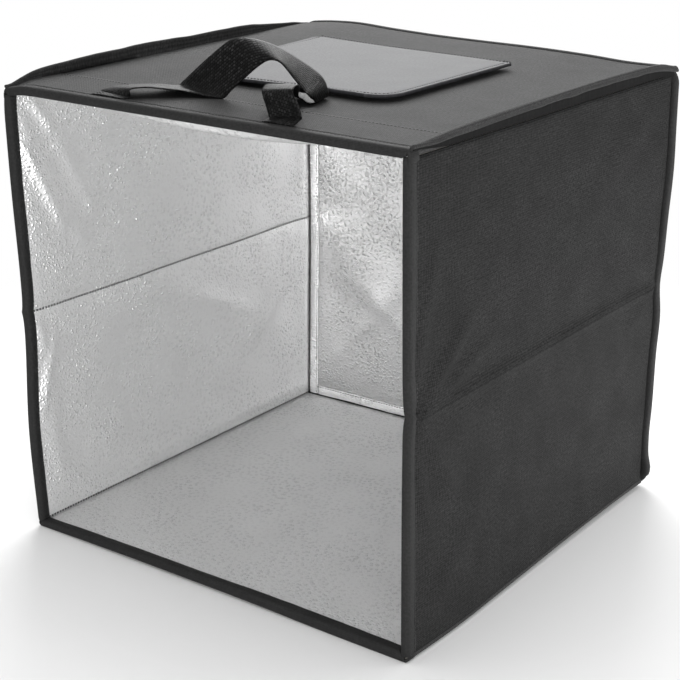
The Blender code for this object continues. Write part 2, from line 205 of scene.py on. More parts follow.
def webbing_look():
    """Polypropylene webbing: rows of short floats in brickwork, black and
    slightly glossy.  The middle of each float has a painted highlight: a lighter
    dot in its colour, for the light that it catches."""
    look, tree, shader, where = new_look("Woven polypropylene webbing", "0a0a0a", 0.5, shine=0.1)
    brickwork = {
        "Vector": where,
        "Scale": 1.0,
        "Mortar Size": 0.62 * mm,
        "Mortar Smooth": 1.0,
        "Brick Width": 2.9 * mm,
        "Row Height": 2.3 * mm,
        "Color1": (1, 1, 1, 1),
        "Color2": (0.55, 0.55, 0.55, 1),
        "Mortar": (0, 0, 0, 1),
    }
    floats = add(tree, "ShaderNodeTexBrick", brickwork, offset=0.5)
    # painted highlight: a lighter dot at each float's middle
    painted_glint = maths(tree, "POWER", floats, 3.5)
    share = maths(tree, "MULTIPLY", painted_glint, speckle(tree, where, 3 * mm, 3))
    colour_between(tree, shader, share, "020202", "404040")
    raise_surface(tree, shader, floats, 0.4 * mm, 0.8)
    return look


def fuzz_look():
    """Hook and loop tape: a nap of tiny loops, dull and very rough."""
    look, tree, shader, where = new_look("Hook and loop fastener tape", "1b1b1c", 0.95, laid="Object")
    raise_surface(tree, shader, speckle(tree, where, 0.8 * mm, 4), 0.5 * mm)
    return look


def fibre_look(name, colour, roughness, size, detail, dark, light):
    """A plain material with fine fibres a little darker and lighter than it."""
    look, tree, shader, where = new_look(name, colour, roughness, laid="Object")
    colour_between(tree, shader, speckle(tree, where, size, detail), dark, light)
    return look


# Oxford polyester of the outer cover: dull threads of 0.8 mm, drawn at 1.9 mm to show
cover_look = cloth_look("Oxford polyester cover cloth", "070707", "393939", 0.8, 1.9 * mm, 0.5 * mm, 0.4)
# The same cloth on the side walls, with painted shade: a little darker, and less shiny
shaded_side_look = cloth_look("Oxford polyester cloth with painted shade, side walls", "070707", "303030", 0.8, 1.9 * mm, 0.5 * mm, 0.15)
# Grosgrain binding: black, ribbed across, slightly smoother
tape_look = cloth_look("Grosgrain polyester binding", "0e0e0e", "262626", 0.75, 1.1 * mm, 0.25 * mm, 0.3)
# The same binding, painted darker as the shade on the underside of a fold, and dull
painted_shade_tape_look = cloth_look("Grosgrain binding with painted shade", "0a0a0a", "1a1a1a", 0.9, 1.1 * mm, 0.1 * mm, 0.1)
# PU-coated nylon of the hatch: smooth and greyer
flap_look = cloth_look("Coated nylon flap cloth", "2c2c2f", "404043", 0.62, 1.0 * mm, 0.06 * mm, 0.3, 90 * mm)
# Silver film, laminated to cloth and embossed; painted darker as shade on floor and roof, and darker still at
# the back
film_look = foil_look("Embossed silver laminate", "bcbcbc", "ffffff")
shaded_film_look = foil_look("Embossed silver laminate with painted shade", "9a9a9a", "f4f4f4")
deeper_shaded_film_look = foil_look("Embossed silver laminate with deeper painted shade", "7e7e7e", "cdcdcd")
strap_look = webbing_look()
fuzzy_look = fuzz_look()
# Grey board, pressed and cut, with a fine fibre
grey_board_look = fibre_look("Pressed grey board", "8d8a84", 0.9, 3 * mm, 5, "7b786f", "a09d96")
# Spun polyester sewing thread, dull black
stitch_look = fibre_look("Spun polyester thread", "1d1d1e", 0.6, 0.6 * mm, 2, "050505", "1c1c1d")


# Shape helpers


def smooth_curve(stations, values):
    """A smooth curve through the values at the given stations."""
    stations = np.asarray(stations, float)
    values = np.asarray(values, float).reshape(len(stations), -1)
    slopes = np.gradient(values, stations, axis=0)

    def at(where):
        where = np.clip(np.asarray(where, float).ravel(), stations[0], stations[-1])
        index = np.clip(np.searchsorted(stations, where, side="right") - 1, 0, len(stations) - 2)
        gap = (stations[index + 1] - stations[index])[:, None]
        t = (where - stations[index])[:, None] / gap
        return (
            (2 * t**3 - 3 * t**2 + 1) * values[index]
            + (t**3 - 2 * t**2 + t) * gap * slopes[index]
            + (3 * t**2 - 2 * t**3) * values[index + 1]
            + (t**3 - t**2) * gap * slopes[index + 1]
        )

    return at


def value_at(curve, where):
    """The one value that a curve has at one place."""
    return float(curve(where)[0, 0])


# How far the real tent's corners and edges lie from an exact box, in
# millimetres.  A corner is named by its side in x, y and z, and an edge by the
# way it runs and its sides in the other two.
corner_shift = {
    (0, 0, 0): (-4, 0, 0),
    (1, 0, 0): (3, -5, 0),
    (0, 1, 0): (-3, 0, 0),
    (1, 1, 0): (-1.5, 0, 3.4),
    (0, 0, 1): (-13, 0, 2.2),
    (1, 0, 1): (-3.2, 0, 2.4),
    (0, 1, 1): (2, 0, 3),
    (1, 1, 1): (4.4, 0, 1),
}
edge_shift = {
    ("x", 0, 0): [
        (0.2, (-2.4, -0.9, 1.3)), (0.45, (-0.7, -2, 1.7)), (0.62, (0.5, -2.8, 1.5)), (0.8, (1.8, -3.6, 0.1)),
    ],
    ("z", 0, 0): [
        (0.2275, (-9.1, 0, 0)), (0.4825, (-5.3, 0, 3)), (0.575, (-6.4, 0, 3)), (0.7525, (-10.2, 0, 2.5)),
    ],
    ("y", 0, 1): [(0.13, (-9, 0, 2.2)), (0.45, (-0.5, 0, 3.5)), (0.75, (5, 0, 4.5)), (0.9, (3.4, 0, 4.2))],
    ("x", 1, 1): [
        (0.08, (2.4, 0, 6.3)), (0.14, (3, 0, 7.4)), (0.26, (3.2, 0, 5.6)), (0.38, (3.3, 0, 4.2)),
        (0.5, (3.4, 0, 3.8)), (0.65, (3.6, 0, 3.7)), (0.8, (3.9, 0, 2.2)), (0.88, (4.1, 0, 0.6)),
    ],
    ("y", 1, 0): [(0.15, (5, -2, 0.8)), (0.35, (3.5, 0, 1.8)), (0.62, (1, 0, 3.6)), (0.85, (-0.5, 0, 4.4))],
    ("z", 1, 1): [
        (0.08, (-2.8, 0, 2.8)), (0.13, (-3.2, 0, 2.8)), (0.2, (-2, 0, 2.8)), (0.33, (-1.2, 0, 2.9)),
        (0.43, (0.4, 0, 3)), (0.5, (-1.6, 0, 3)), (0.56, (0.4, 0, 2.8)), (0.655, (2.2, 0, 2)),
        (0.78, (4.8, 0, 1.5)), (0.87, (4.6, 0, 1)),
    ],
    ("z", 1, 0): [(0.5, (-1, -1, 1.6))],
    ("z", 0, 1): [(0.5, (0, 0, 3)), (0.9, (0, 0, 2))],
}
# The upper left front corner is bunched and rounded off as well
bunched_corner = [-half, -half, height]
bunch_reach = np.array([15, 22, 15]) * mm
bunch_shift = [2.0, 0.0, -3.6]
lowest_point = 0.15 * mm


def edge_curves():
    """Every edge's shifts as a smooth curve that meets its corners."""
    made = {}
    for axis, name in enumerate("xyz"):
        for first in (0, 1):
            for second in (0, 1):
                ends = []
                for end in (0, 1):
                    key = [first, second]
                    key.insert(axis, end)
                    ends.append(corner_shift[tuple(key)])
                between = edge_shift.get((name, first, second), [])
                stations = [0.0] + [share for share, shift in between] + [1.0]
                shifts = [ends[0]] + [shift for share, shift in between] + [ends[1]]
                made[axis, first, second] = smooth_curve(stations, shifts)
    return made


edges = edge_curves()


def warp(points):
    """Push points laid out on the exact box to where the real tent has them."""
    points = np.asarray(points, float)
    flat = points.reshape(-1, 3)
    share = np.clip((flat - [-half, -half, 0]) / [2 * half, 2 * half, height], 0, 1)
    weights = [np.stack([1 - share[:, axis], share[:, axis]], 1) for axis in range(3)]
    shift = np.zeros_like(flat)
    for (axis, first, second), curve in edges.items():
        others = [other for other in range(3) if other != axis]
        weight = weights[others[0]][:, first] * weights[others[1]][:, second]
        shift += weight[:, None] * curve(share[:, axis])
    # three edges meet at a corner, so its own shift comes off twice
    for sides, corner in corner_shift.items():
        weight = weights[0][:, sides[0]] * weights[1][:, sides[1]] * weights[2][:, sides[2]]
        shift -= 2 * weight[:, None] * np.array(corner, float)
    away = ((flat - bunched_corner) / bunch_reach) ** 2
    shift += np.exp(-away.sum(1))[:, None] * bunch_shift
    return (flat + shift * mm).reshape(points.shape)


def noise(first, second, cell, seed):
    """Smooth noise from -1 to 1 over two lengths, with one cell size."""
    lattice = np.random.default_rng(seed).uniform(-1, 1, (64, 64))
    first, second = np.asarray(first) / cell + 20, np.asarray(second) / cell + 20
    column, row = np.floor(first).astype(int), np.floor(second).astype(int)
    right, up = first - column, second - row
    right, up = right * right * (3 - 2 * right), up * up * (3 - 2 * up)

    def corner(across, above):
        return lattice[(column + across) % 64, (row + above) % 64]

    low = corner(0, 0) * (1 - right) + corner(1, 0) * right
    high = corner(0, 1) * (1 - right) + corner(1, 1) * right
    return low * (1 - up) + high * up


def ridge(first, second, start, end, width, rise):
    """A soft fold of cloth from start to end, widest in the middle (mm)."""
    start, end = np.array(start) * mm, np.array(end) * mm
    run = end - start
    length = np.hypot(*run)
    along = ((first - start[0]) * run[0] + (second - start[1]) * run[1]) / length**2
    aside = ((first - start[0]) * -run[1] + (second - start[1]) * run[0]) / length / (width * mm)
    fade = np.clip(np.sin(np.clip(along, 0, 1) * math.pi), 0, 1) ** 0.7
    return rise * mm * fade * np.exp(-(aside**2))


def smooth_step(value, low, high):
    """0 below low and 1 above high, with a smooth rise between them."""
    share = np.clip((value - low) / (high - low), 0, 1)
    return share * share * (3 - 2 * share)


def mesh_object(name, points, faces, look, uvs=None, closed=True):
    """A smooth mesh at the origin, faces outward, with one UV pair for each
    point.  What is closed stays just clear of the ground."""
    points = np.asarray(points, float).reshape(-1, 3).copy()
    points[:, 2] = np.maximum(points[:, 2], lowest_point if closed else 0)
    quads = np.array([face for face in faces if len(face) == 4])
    volume = 0.0
    if closed:
        for first, second in ((1, 2), (2, 3)):
            turned = np.cross(points[quads[:, first]], points[quads[:, second]])
            volume += (points[quads[:, 0]] * turned).sum()
    if volume < 0:
        faces = [face[::-1] for face in faces]
    mesh = bpy.data.meshes.new(name)
    mesh.from_pydata(points.tolist(), [], [list(map(int, face)) for face in faces])
    if uvs is not None:
        layer = mesh.uv_layers.new(name="flat")
        index = np.zeros(len(mesh.loops), int)
        mesh.loops.foreach_get("vertex_index", index)
        layer.data.foreach_set("uv", np.asarray(uvs, float).reshape(-1, 2)[index].ravel())
    mesh.materials.append(look)
    mesh.shade_smooth()
    piece = bpy.data.objects.new(name, mesh)
    bpy.context.scene.collection.objects.link(piece)
    return piece


def grid_quads(rows, columns):
    """Quads over a grid of points, one row of quads after another."""
    index = np.arange(rows * columns).reshape(rows, columns)
    return np.stack([index[:-1, :-1], index[1:, :-1], index[1:, 1:], index[:-1, 1:]], -1).reshape(-1, 4)


def grid_normals(points):
    """Unit normals of a grid of points."""
    across = np.cross(np.gradient(points, axis=0), np.gradient(points, axis=1))
    return across / np.maximum(np.linalg.norm(across, axis=-1, keepdims=True), 1e-12)


def closed_sheet(name, points, thickness, look, uvs, flip=False, keep=None):
    """A sheet with a real thickness under the given outer side, closed all round.
    keep: which of the grid's quads stay, where it has a hole."""
    rows, columns = points.shape[:2]
    side = -1 if flip else 1
    under = points - grid_normals(points) * side * thickness
    count = rows * columns
    quads = grid_quads(rows, columns)
    if keep is not None:
        quads = quads[keep.ravel()]
    runs = np.concatenate([quads[:, [corner, (corner + 1) % 4]] for corner in range(4)])
    inner = np.isin(runs[:, 0] * count + runs[:, 1], runs[:, 1] * count + runs[:, 0])
    rim = runs[~inner]
    walls = np.stack([rim[:, 1], rim[:, 0], rim[:, 0] + count, rim[:, 1] + count], 1)
    faces = np.concatenate([quads, quads[:, ::-1] + count, walls])
    both = np.concatenate([points.reshape(-1, 3), under.reshape(-1, 3)])
    used = np.unique(faces)
    place = np.zeros(2 * count, int)
    place[used] = np.arange(len(used))
    return mesh_object(name, both[used], place[faces], look, np.concatenate([uvs.reshape(-1, 2)] * 2)[used])


def tube(name, rings, look, uvs=None, loop=False):
    """A closed tube through rings of points.  loop: its last ring meets its first."""
    rings = np.asarray(rings, float)
    count, size = rings.shape[:2]
    index = np.arange(count * size).reshape(count, size)
    wide = np.concatenate([index, index[:, :1]], 1)
    if loop:
        wide = np.concatenate([wide, wide[:1]])
    quads = np.stack([wide[:-1, :-1], wide[:-1, 1:], wide[1:, 1:], wide[1:, :-1]], -1).reshape(-1, 4)
    faces = quads.tolist()
    if not loop:
        faces += [index[0, ::-1].tolist(), index[-1].tolist()]
    return mesh_object(name, rings, faces, look, uvs)


def spaced(low, high, step):
    """Evenly spaced values from low to high, about one step apart."""
    return np.linspace(low, high, max(2, int(round((high - low) / step)) + 1))


# Walls


class Wall:
    """One side of the box: where its outer face lies and how it swells."""

    def __init__(self, origin, across, upward, outward, lift=0.0):
        self.origin = np.array(origin, float) - np.array(outward, float) * lift
        self.across = np.array(across, float)
        self.upward = np.array(upward, float)
        self.outward = np.array(outward, float)
        self.flip = np.dot(np.cross(self.across, self.upward), self.outward) < 0
        self.swell = lambda first, second: 0 * first
        self.pucker = lambda first, second: 0 * first
        self.inner_pucker = lambda first, second: 0 * first

    def points(self, first, second, depth, extra=0.0):
        """Points on the wall at two lengths across it, at a depth under its face."""
        level = self.swell(first, second) + extra - depth
        return warp(
            self.origin
            + first[..., None] * self.across
            + second[..., None] * self.upward
            + level[..., None] * self.outward
        )


left = Wall((-half, -half, 0), (0, 1, 0), (0, 0, 1), (-1, 0, 0))
right = Wall((half, -half, 0), (0, 1, 0), (0, 0, 1), (1, 0, 0))
floor = Wall((-half, -half, 0), (1, 0, 0), (0, 1, 0), (0, 0, -1), lift=0.6 * mm)
roof = Wall((-half, -half, height), (1, 0, 0), (0, 1, 0), (0, 0, 1))
back = Wall((-half - overhang, back_edge, 0), (1, 0, 0), (0, 0, 1), (0, 1, 0))
back_wide = 2 * (half + overhang)


def inside(first, second, wide, tall, start, margin):
    """1 inside a wall, falling to 0 at its edges: from a start, over a margin."""
    return (
        smooth_step(first, start, start + margin)
        * smooth_step(-first, -wide + start, -wide + start + margin)
        * smooth_step(second, start, start + margin)
        * smooth_step(-second, -tall + start, -tall + start + margin)
    )


def crease_swell(first, second):
    """The fold at half height stands out a little, as its spring pushes it."""
    away = abs(second - crease_z)
    swell = 1.7 * mm * np.exp(-away / (6 * mm)) + 0.8 * mm * np.exp(-away / (32 * mm))
    return swell * (1 - 0.9 * smooth_step(first, wall_depth - 30 * mm, wall_depth))


left.swell = crease_swell
right.swell = crease_swell


def pucker_of(seed, coarse, rise, folds=(), start=9 * mm, margin=14 * mm, creased=False):
    """Slack cloth: two sizes of soft waves and a few named folds, in millimetres."""

    def pucker(first, second):
        level = rise * mm * (1 + noise(first, second, coarse * mm, seed))
        level = level + 0.4 * rise * mm * (1 + noise(first, second, 0.3 * coarse * mm, seed + 1))
        for begin, end, width, tall_fold in folds:
            level = level + ridge(first, second, begin, end, width, tall_fold)
        if creased:
            over = (second - crease_z) / mm
            lip = 2.6 * np.exp(-((over / 5) ** 2)) - 2.2 * np.exp(-(((over + 1) / 0.9) ** 2))
            level = level + lip * mm
        return level * inside(first, second, 2 * half, 2 * half, start, margin)

    return pucker


# Folds of slack cloth: where each starts and ends on its wall, its width and its
# rise, in millimetres
right_folds = (
    ((6, 200), (85, 262), 8, 3.6), ((6, 200), (120, 232), 6, 3.0), ((6, 198), (110, 172), 6, 2.7),
    ((6, 196), (62, 118), 8, 3.2), ((4, 214), (34, 330), 8, 2.3), ((4, 188), (28, 80), 8, 2.0),
    ((392, 202), (330, 240), 8, 2.4), ((392, 198), (336, 168), 8, 2.4), ((392, 205), (365, 300), 9, 1.6),
    ((396, 392), (250, 300), 14, 1.6), ((10, 20), (120, 120), 14, 1.4),
)
left_folds = ((6, 200), (90, 258), 9, 1.8), ((6, 198), (95, 150), 8, 1.6), ((392, 202), (320, 236), 8, 1.3)
left_film_folds = (
    ((-14, 392), (52, 262), 5, 4.2), ((-4, 392), (78, 236), 9, 1.8), ((14, 396), (46, 352), 5, 3.4),
    ((36, 372), (92, 262), 8, 1.6), ((4, 198), (18, 160), 5, 2.0), ((30, 180), (8, 96), 5, 2.4),
    ((24, 120), (30, 20), 9, 1.4), ((400, 206), (250, 40), 16, 4.6), ((384, 190), (384, 60), 12, 2.6),
    ((150, 190), (320, 110), 12, 2.4), ((384, 380), (380, 240), 10, 2.8), ((60, 60), (330, 20), 12, 2.0),
    ((8, 20), (392, 19), 5, 1.9),
)
back_folds = (
    ((20, 382), (170, 220), 14, 2.0), ((380, 20), (240, 160), 14, 1.8), ((30, 30), (120, 140), 10, 1.5),
)
back_film_folds = (
    ((12, 385), (120, 250), 10, 1.7), ((20, 30), (150, 170), 12, 1.5), ((60, 150), (180, 60), 12, 1.3),
)
right.pucker = pucker_of(3, 48, 0.45, right_folds, start=1 * mm, margin=9 * mm, creased=True)
right.inner_pucker = pucker_of(31, 55, 0.5)
left.pucker = pucker_of(13, 50, 0.5, left_folds, start=1 * mm, margin=9 * mm, creased=True)
left.inner_pucker = pucker_of(23, 60, 0.7, left_film_folds, start=5 * mm, margin=12 * mm)
floor.inner_pucker = pucker_of(41, 75, 0.6)
back.pucker = pucker_of(51, 55, 0.7, back_folds, start=2 * mm)
back.inner_pucker = pucker_of(61, 60, 0.6, back_film_folds, start=12 * mm)
roof.swell = lambda first, second: -1.2 * mm * inside(first, second, 2 * half, 2 * half, 0, 150 * mm)
roof.pucker = pucker_of(81, 32, 0.1)


def roof_inner_pucker(first, second):
    """Under the roof the lining hangs behind the front tape, in a long bag."""
    across = np.sin(np.clip((first - 95 * mm) / (250 * mm), 0, 1) * math.pi) ** 0.8
    along = smooth_step(second, 1.5 * mm, 9 * mm) * (1 - smooth_step(second, 40 * mm, 150 * mm))
    return 9.5 * mm * across * along + slack_ceiling(first, second)


slack_ceiling = pucker_of(71, 60, 0.6)
roof.inner_pucker = roof_inner_pucker


def stops_between(stops, step=4 * mm):
    """Evenly spaced values from stop to stop, each stop once."""
    runs = [spaced(first, second, step) for first, second in zip(stops[:-1], stops[1:])]
    return np.concatenate([runs[0]] + [run[1:] for run in runs[1:]])


def sheet_grid(low, high, step, cuts=((), ())):
    """Two lengths over a rectangle, with grid lines at the given cuts."""
    spans = zip(low, high, cuts)
    lines = [stops_between(sorted({start, end, *marks}), step) for start, end, marks in spans]
    return np.meshgrid(*lines, indexing="ij")


def cut_window(first, second, hole):
    """A grid with its lines drawn in to the window's round corners, and which
    of its quads stay round the window."""
    middle_first = (first[1:, 1:] + first[:-1, :-1]) / 2
    middle_second = (second[1:, 1:] + second[:-1, :-1]) / 2
    within = (middle_first > hole[0][0]) & (middle_first < hole[1][0])
    keep = ~(within & (middle_second > hole[0][1]) & (middle_second < hole[1][1]))
    return (*round_window(first, second, hole, window_radius), keep)


# Grid lines that the crease adds, measured up from it in millimetres
crease_marks = (-7, -4, -2.4, -1.7, -1, -0.3, 0.4, 1.2, 2.4, 4, 7)
window_radius = 10 * mm


def wall_sheet(name, wall, low, high, ply, inward=False, step=4 * mm, pucker=None, hole=None, corner=0.0):
    """One ply of a wall between two corners of it.  ply: its depth under the wall's
    face, its thickness and its look.  inward: its good side faces in.  hole: low
    and high corners of a window through it.  corner: radius of its corners."""
    depth, thickness, look = ply
    by_crease = [crease_z + away * mm for away in crease_marks]
    by_crease = tuple(mark for mark in by_crease if wall in (left, right) and low[1] < mark < high[1])
    cuts = ((), by_crease) if hole is None else tuple(zip(*hole))
    first, second = sheet_grid(low, high, step, cuts)
    keep = None
    if hole is not None:
        first, second, keep = cut_window(first, second, hole)
    if corner:
        first, second = round_outline(first, second, low, high, corner)
    extra = 0 * first
    if pucker is not None:
        extra = -pucker(first, second) if inward else pucker(first, second)
    points = wall.points(first, second, depth + (thickness if inward else 0), extra)
    uvs = np.stack([first, second], -1)
    return closed_sheet(name, points, thickness, look, uvs, wall.flip != inward, keep)


def round_window(first, second, hole, radius):
    """Bring the window's edge points near its corners onto round corners."""
    first, second = first.copy(), second.copy()
    snug = 0.01 * mm
    (left_side, near_side), (right_side, far_side) = hole
    for side, sense in ((left_side, 1), (right_side, -1)):
        for end, way in ((near_side, 1), (far_side, -1)):
            centre = side + sense * radius, end + way * radius
            on_side = (abs(first - side) < snug) & (way * (second - end) > -snug)
            on_side &= way * (centre[1] - second) > 0
            on_end = (abs(second - end) < snug) & (sense * (first - side) > -snug)
            on_end &= sense * (centre[0] - first) > 0
            picked = on_side | on_end
            away = np.maximum(np.hypot(first - centre[0], second - centre[1]), snug)
            first = np.where(picked, centre[0] + (first - centre[0]) * radius / away, first)
            second = np.where(picked, centre[1] + (second - centre[1]) * radius / away, second)
    return first, second


def round_outline(first, second, low, high, radius):
    """Squeeze a rectangle's corner squares into quarter discs."""
    snug = 0.01 * mm
    for side, sense in ((low[0], 1), (high[0], -1)):
        for end, way in ((low[1], 1), (high[1], -1)):
            across = np.clip(sense * (side + sense * radius - first), 0, None)
            along = np.clip(way * (end + way * radius - second), 0, None)
            shrink = np.maximum(across, along) / np.maximum(np.hypot(across, along), snug)
            shrink = np.where((across > 0) & (along > 0), shrink, 1)
            first = np.where(across > 0, side + sense * (radius - across * shrink), first)
            second = np.where(along > 0, end + way * (radius - along * shrink), second)
    return first, second


def wrapped_cover(name, wall, end, look, hole=None):
    """The cover of floor or roof, which turns round its two side edges."""
    radius = 2.4 * mm
    wide = 2 * half
    turns = np.linspace(0, math.pi / 2, 6)
    rims = [(radius - radius * math.cos(turn), radius - radius * math.sin(turn)) for turn in turns]
    turned = [(0.0, panel - 0.2 * mm)] + rims
    inner_marks = [] if hole is None else [hole[0][0], hole[1][0]]
    flat = stops_between([radius, *inner_marks, wide - radius])[1:-1]
    profile = turned + [(first, 0.0) for first in flat]
    profile = np.array(profile + [(wide - first, depth) for first, depth in turned[::-1]])
    inner_marks = [] if hole is None else [hole[0][1], hole[1][1]]
    seconds = stops_between([tape_start, *inner_marks, end])
    first = np.repeat(profile[:, :1], len(seconds), 1)
    depth = np.repeat(profile[:, 1:], len(seconds), 1)
    second = np.repeat(seconds[None], len(profile), 0)
    keep = None
    if hole is not None:
        first, second, keep = cut_window(first, second, hole)
    points = wall.points(first, second, depth, wall.pucker(first, second))
    run = np.concatenate([[0], np.cumsum(np.hypot(*np.diff(profile, axis=0).T))])
    uvs = np.stack([np.repeat(run[:, None], len(seconds), 1), second], -1)
    return closed_sheet(name, points, cover_thickness, look, uvs, wall.flip, keep)


def dress(piece, body, slot, *nodes):
    """Set a finished piece on its body, in place of its solids."""
    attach(piece, body)
    if nodes:
        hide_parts(*nodes)
    return piece


# How far each kind of cloth's fold zone reaches to both sides of the crease; its ends are worked out, but
# nothing bends the cloth over it
fold_zone = {"outer_cloth": 6 * mm, "silver_film": 1.5 * mm, "front_tape": 3 * mm}


def fold_between(piece, side, kind, nodes):
    """Cloth that runs on over the crease between a side wall's two halves: the halves' solids are hidden and
    the piece is baked in place.
    """
    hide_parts(*nodes)
    place = half if side == "right" else -half
    zone = fold_zone[kind]
    start, end = (place, 0, crease_z - zone), (place, 0, crease_z + zone)
    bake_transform(piece)
    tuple(start)
    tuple(end)
    return piece


def stiffener(name, wall, low, high, hole=None, step=12 * mm, corner=0.0):
    """The board inside a wall."""
    ply = board_depth, board_thickness, grey_board_look
    return wall_sheet(name, wall, low, high, ply, step=step, hole=hole, corner=corner)


def lining_film(name, wall, low, high, look, hole=None, corner=0.0):
    """The silver film on a wall's inner side."""
    ply = lining_depth, lining_thickness, look
    return wall_sheet(name, wall, low, high, ply, True, 2.5 * mm, wall.inner_pucker, hole, corner)


for side, wall in (("left", left), ("right", right)):
    low, high = (tape_start, panel + seam), (wall_depth, height - panel - seam)
    # the side walls' cloth is the cover cloth with painted shade
    ply = 0, cover_thickness, shaded_side_look
    cover = wall_sheet(f"{side}_outer_cloth", wall, low, high, ply, pucker=wall.pucker)
    fold_between(cover, side, "outer_cloth", [f"{side}_lower_cover", f"{side}_upper_cover"])
    film = lining_film(f"{side}_silver_film", wall, low, high, film_look)
    fold_between(film, side, "silver_film", [f"{side}_lower_lining", f"{side}_upper_lining"])
    for part, span in (("lower", (low[1], crease_z - seam)), ("upper", (crease_z + seam, high[1]))):
        body = f"{side}_{part}"
        board = stiffener(f"{body}_stiffener", wall, (low[0], span[0]), (high[0], span[1]))
        dress(board, body, "board", f"{body}_board")

# The window under the flap, measured from the tent's middle line
window_left, window_right = -102 * mm, 78 * mm
window_front, window_back = -63 * mm, 87 * mm
window = ((window_left + half, window_front + half), (window_right + half, window_back + half))
floor_end = back_edge + half - panel - seam
side_gap = 1.2 * mm
for name, wall, end, hole in (("floor", floor, floor_end, None), ("roof", roof, wall_depth, window)):
    cover = wrapped_cover(f"{name}_outer_cloth", wall, end, cover_look, hole)
    dress(cover, name, "cover_cloth", f"{name}_cover")
    low, high = (side_gap, tape_start), (2 * half - side_gap, end)
    board = stiffener(f"{name}_stiffener", wall, low, high, hole)
    dress(board, name, "board", f"{name}_board")
    # the floor's and roof's film carries painted shade
    film = lining_film(f"{name}_silver_film", wall, low, high, shaded_film_look, hole)
    dress(film, name, "silver_lining", f"{name}_lining")

back_corner = 14 * mm
turn_in = back_corner - tape_start
low, high = (tape_start, tape_start), (back_wide - tape_start, height - tape_start)
ply = 0, cover_thickness, cover_look
cover = wall_sheet("back_outer_cloth", back, low, high, ply, pucker=back.pucker, corner=turn_in)
dress(cover, "back", "cover_cloth", "back_cover")
board = stiffener("back_stiffener", back, low, high, step=10 * mm, corner=turn_in)
dress(board, "back", "board", "back_board")
# the back's film carries deeper painted shade
film = lining_film("back_silver_film", back, low, high, deeper_shaded_film_look, corner=turn_in)
dress(film, "back", "silver_lining", "back_lining")


# Binding tape

# Section of a tape folded round a free edge: distance in from the edge, and
# depth under the wall's outer face, both in millimetres.
tape_section = np.array(
    [
        (10.3, 0.02), (10.2, -0.35), (9.4, -0.62), (6.5, -0.85), (3.6, -1.1), (1.5, -1.0), (0.2, -0.3),
        (-0.55, 1.1), (-0.8, 2.9), (-0.6, 4.8), (0.2, 6.1), (1.6, 6.85), (3.8, 6.95), (6.2, 6.5),
        (7.9, 6.05), (8.35, 5.7), (8.3, 5.3), (7.5, 5.1), (2.2, 5.1), (1.3, 4.5), (1.0, 2.5),
        (1.3, 0.6), (2.2, -0.02), (9.4, -0.02),
    ]
)


def tape(name, place, along, seed, swollen=None, lowest=None, loop=False):
    """Binding tape round a free edge.  place turns a length along the edge, a
    distance in from it and a depth into points of the wall.  swollen: how much
    thicker it is on its inner side, by share of its length."""
    section = tape_section * mm
    middle = panel / 2
    rings = []
    for where in along:
        to_end = min(where - along[0], along[-1] - where)
        wobble = 0.45 * mm * noise(where, seed * 7 * mm, 24 * mm, seed)
        wobble = wobble + 0.15 * mm * noise(where, 0, 7 * mm, seed + 5)
        ease = min(1.0, to_end / (2.5 * mm))
        if loop:
            ease = 1.0
            wobble = wobble * smooth_step(to_end, 0, 20 * mm)
        full = 0.86 + 0.14 * math.sqrt(ease)
        distance = section[:, 0] + wobble * (section[:, 0] > 5 * mm)
        depth = middle + (section[:, 1] - middle) * full
        if swollen is not None:
            share = (where - along[0]) / (along[-1] - along[0])
            depth = np.where(depth > middle, middle + (depth - middle) * value_at(swollen, share), depth)
        if lowest is not None:
            depth = np.maximum(depth, lowest)
        rings.append(place(where, distance, depth))
    lengths = np.concatenate([[0], np.cumsum(np.hypot(*np.diff(section, axis=0).T))])
    uvs = np.stack(np.broadcast_arrays(lengths[None], np.asarray(along)[:, None]), -1)
    return tube(name, rings, tape_look, uvs, loop)


for side, wall in (("left", left), ("right", right)):
    along = spaced(panel + seam, height - panel - seam, 3 * mm)
    piece = tape(
        f"{side}_front_tape",
        lambda where, distance, depth, wall=wall: wall.points(distance, np.full_like(distance, where), depth),
        along,
        seed=101 + len(side),
    )
    nodes = [f"{side}_{part}_front_binding" for part in ("lower", "upper")]
    fold_between(piece, side, "front_tape", nodes)


def round_the_end(wall, tail, bend=2.8 * mm):
    """Places along the front edge of floor or roof, where the tape turns down
    round both ends and runs on for a short tail."""
    wide = 2 * half
    quarter = bend * math.pi / 2

    def place(where, distance, depth):
        over = max(0.0, -where, where - wide)
        end_on = where < wide / 2
        gap = min(where, wide - where)
        deepest = max(1.9 * mm, min(8 * mm, 1.9 * mm + gap * 0.75))
        depth = np.minimum(depth, deepest)
        if over <= 0 and gap >= bend:
            return wall.points(np.full_like(distance, where), distance, depth)
        run = bend - gap if over <= 0 else bend + over
        turn = min(run / quarter, 1.0) * math.pi / 2
        down = max(0.0, run - quarter)
        first = bend - (bend - depth) * math.sin(turn)
        level = bend - (bend - depth) * math.cos(turn) + down
        if down > 0 or turn >= math.pi / 2:
            first = depth - 0.5 * mm * min(1.0, down / (2 * mm))
            level = np.full_like(distance, bend + down)
        if not end_on:
            first = wide - first
        return wall.points(first, distance, level)

    reach = quarter - bend + tail
    middle = spaced(bend, wide - bend, 3 * mm)[1:-1]
    along = [np.linspace(-reach, bend, 16), middle, np.linspace(wide - bend, wide + reach, 16)]
    return place, np.concatenate(along)


place, along = round_the_end(roof, 6.5 * mm)
dress(tape("roof_front_tape", place, along, 141), "roof", "binding_tape", "roof_front_binding")
place, along = round_the_end(floor, 0.5 * mm)
swollen = smooth_curve([0, 0.5, 0.85, 1], [1.0, 1.15, 1.7, 1.4])
piece = tape("floor_front_tape", place, along, 131, swollen, lowest=-0.5 * mm)
dress(piece, "floor", "binding_tape", "floor_front_binding")


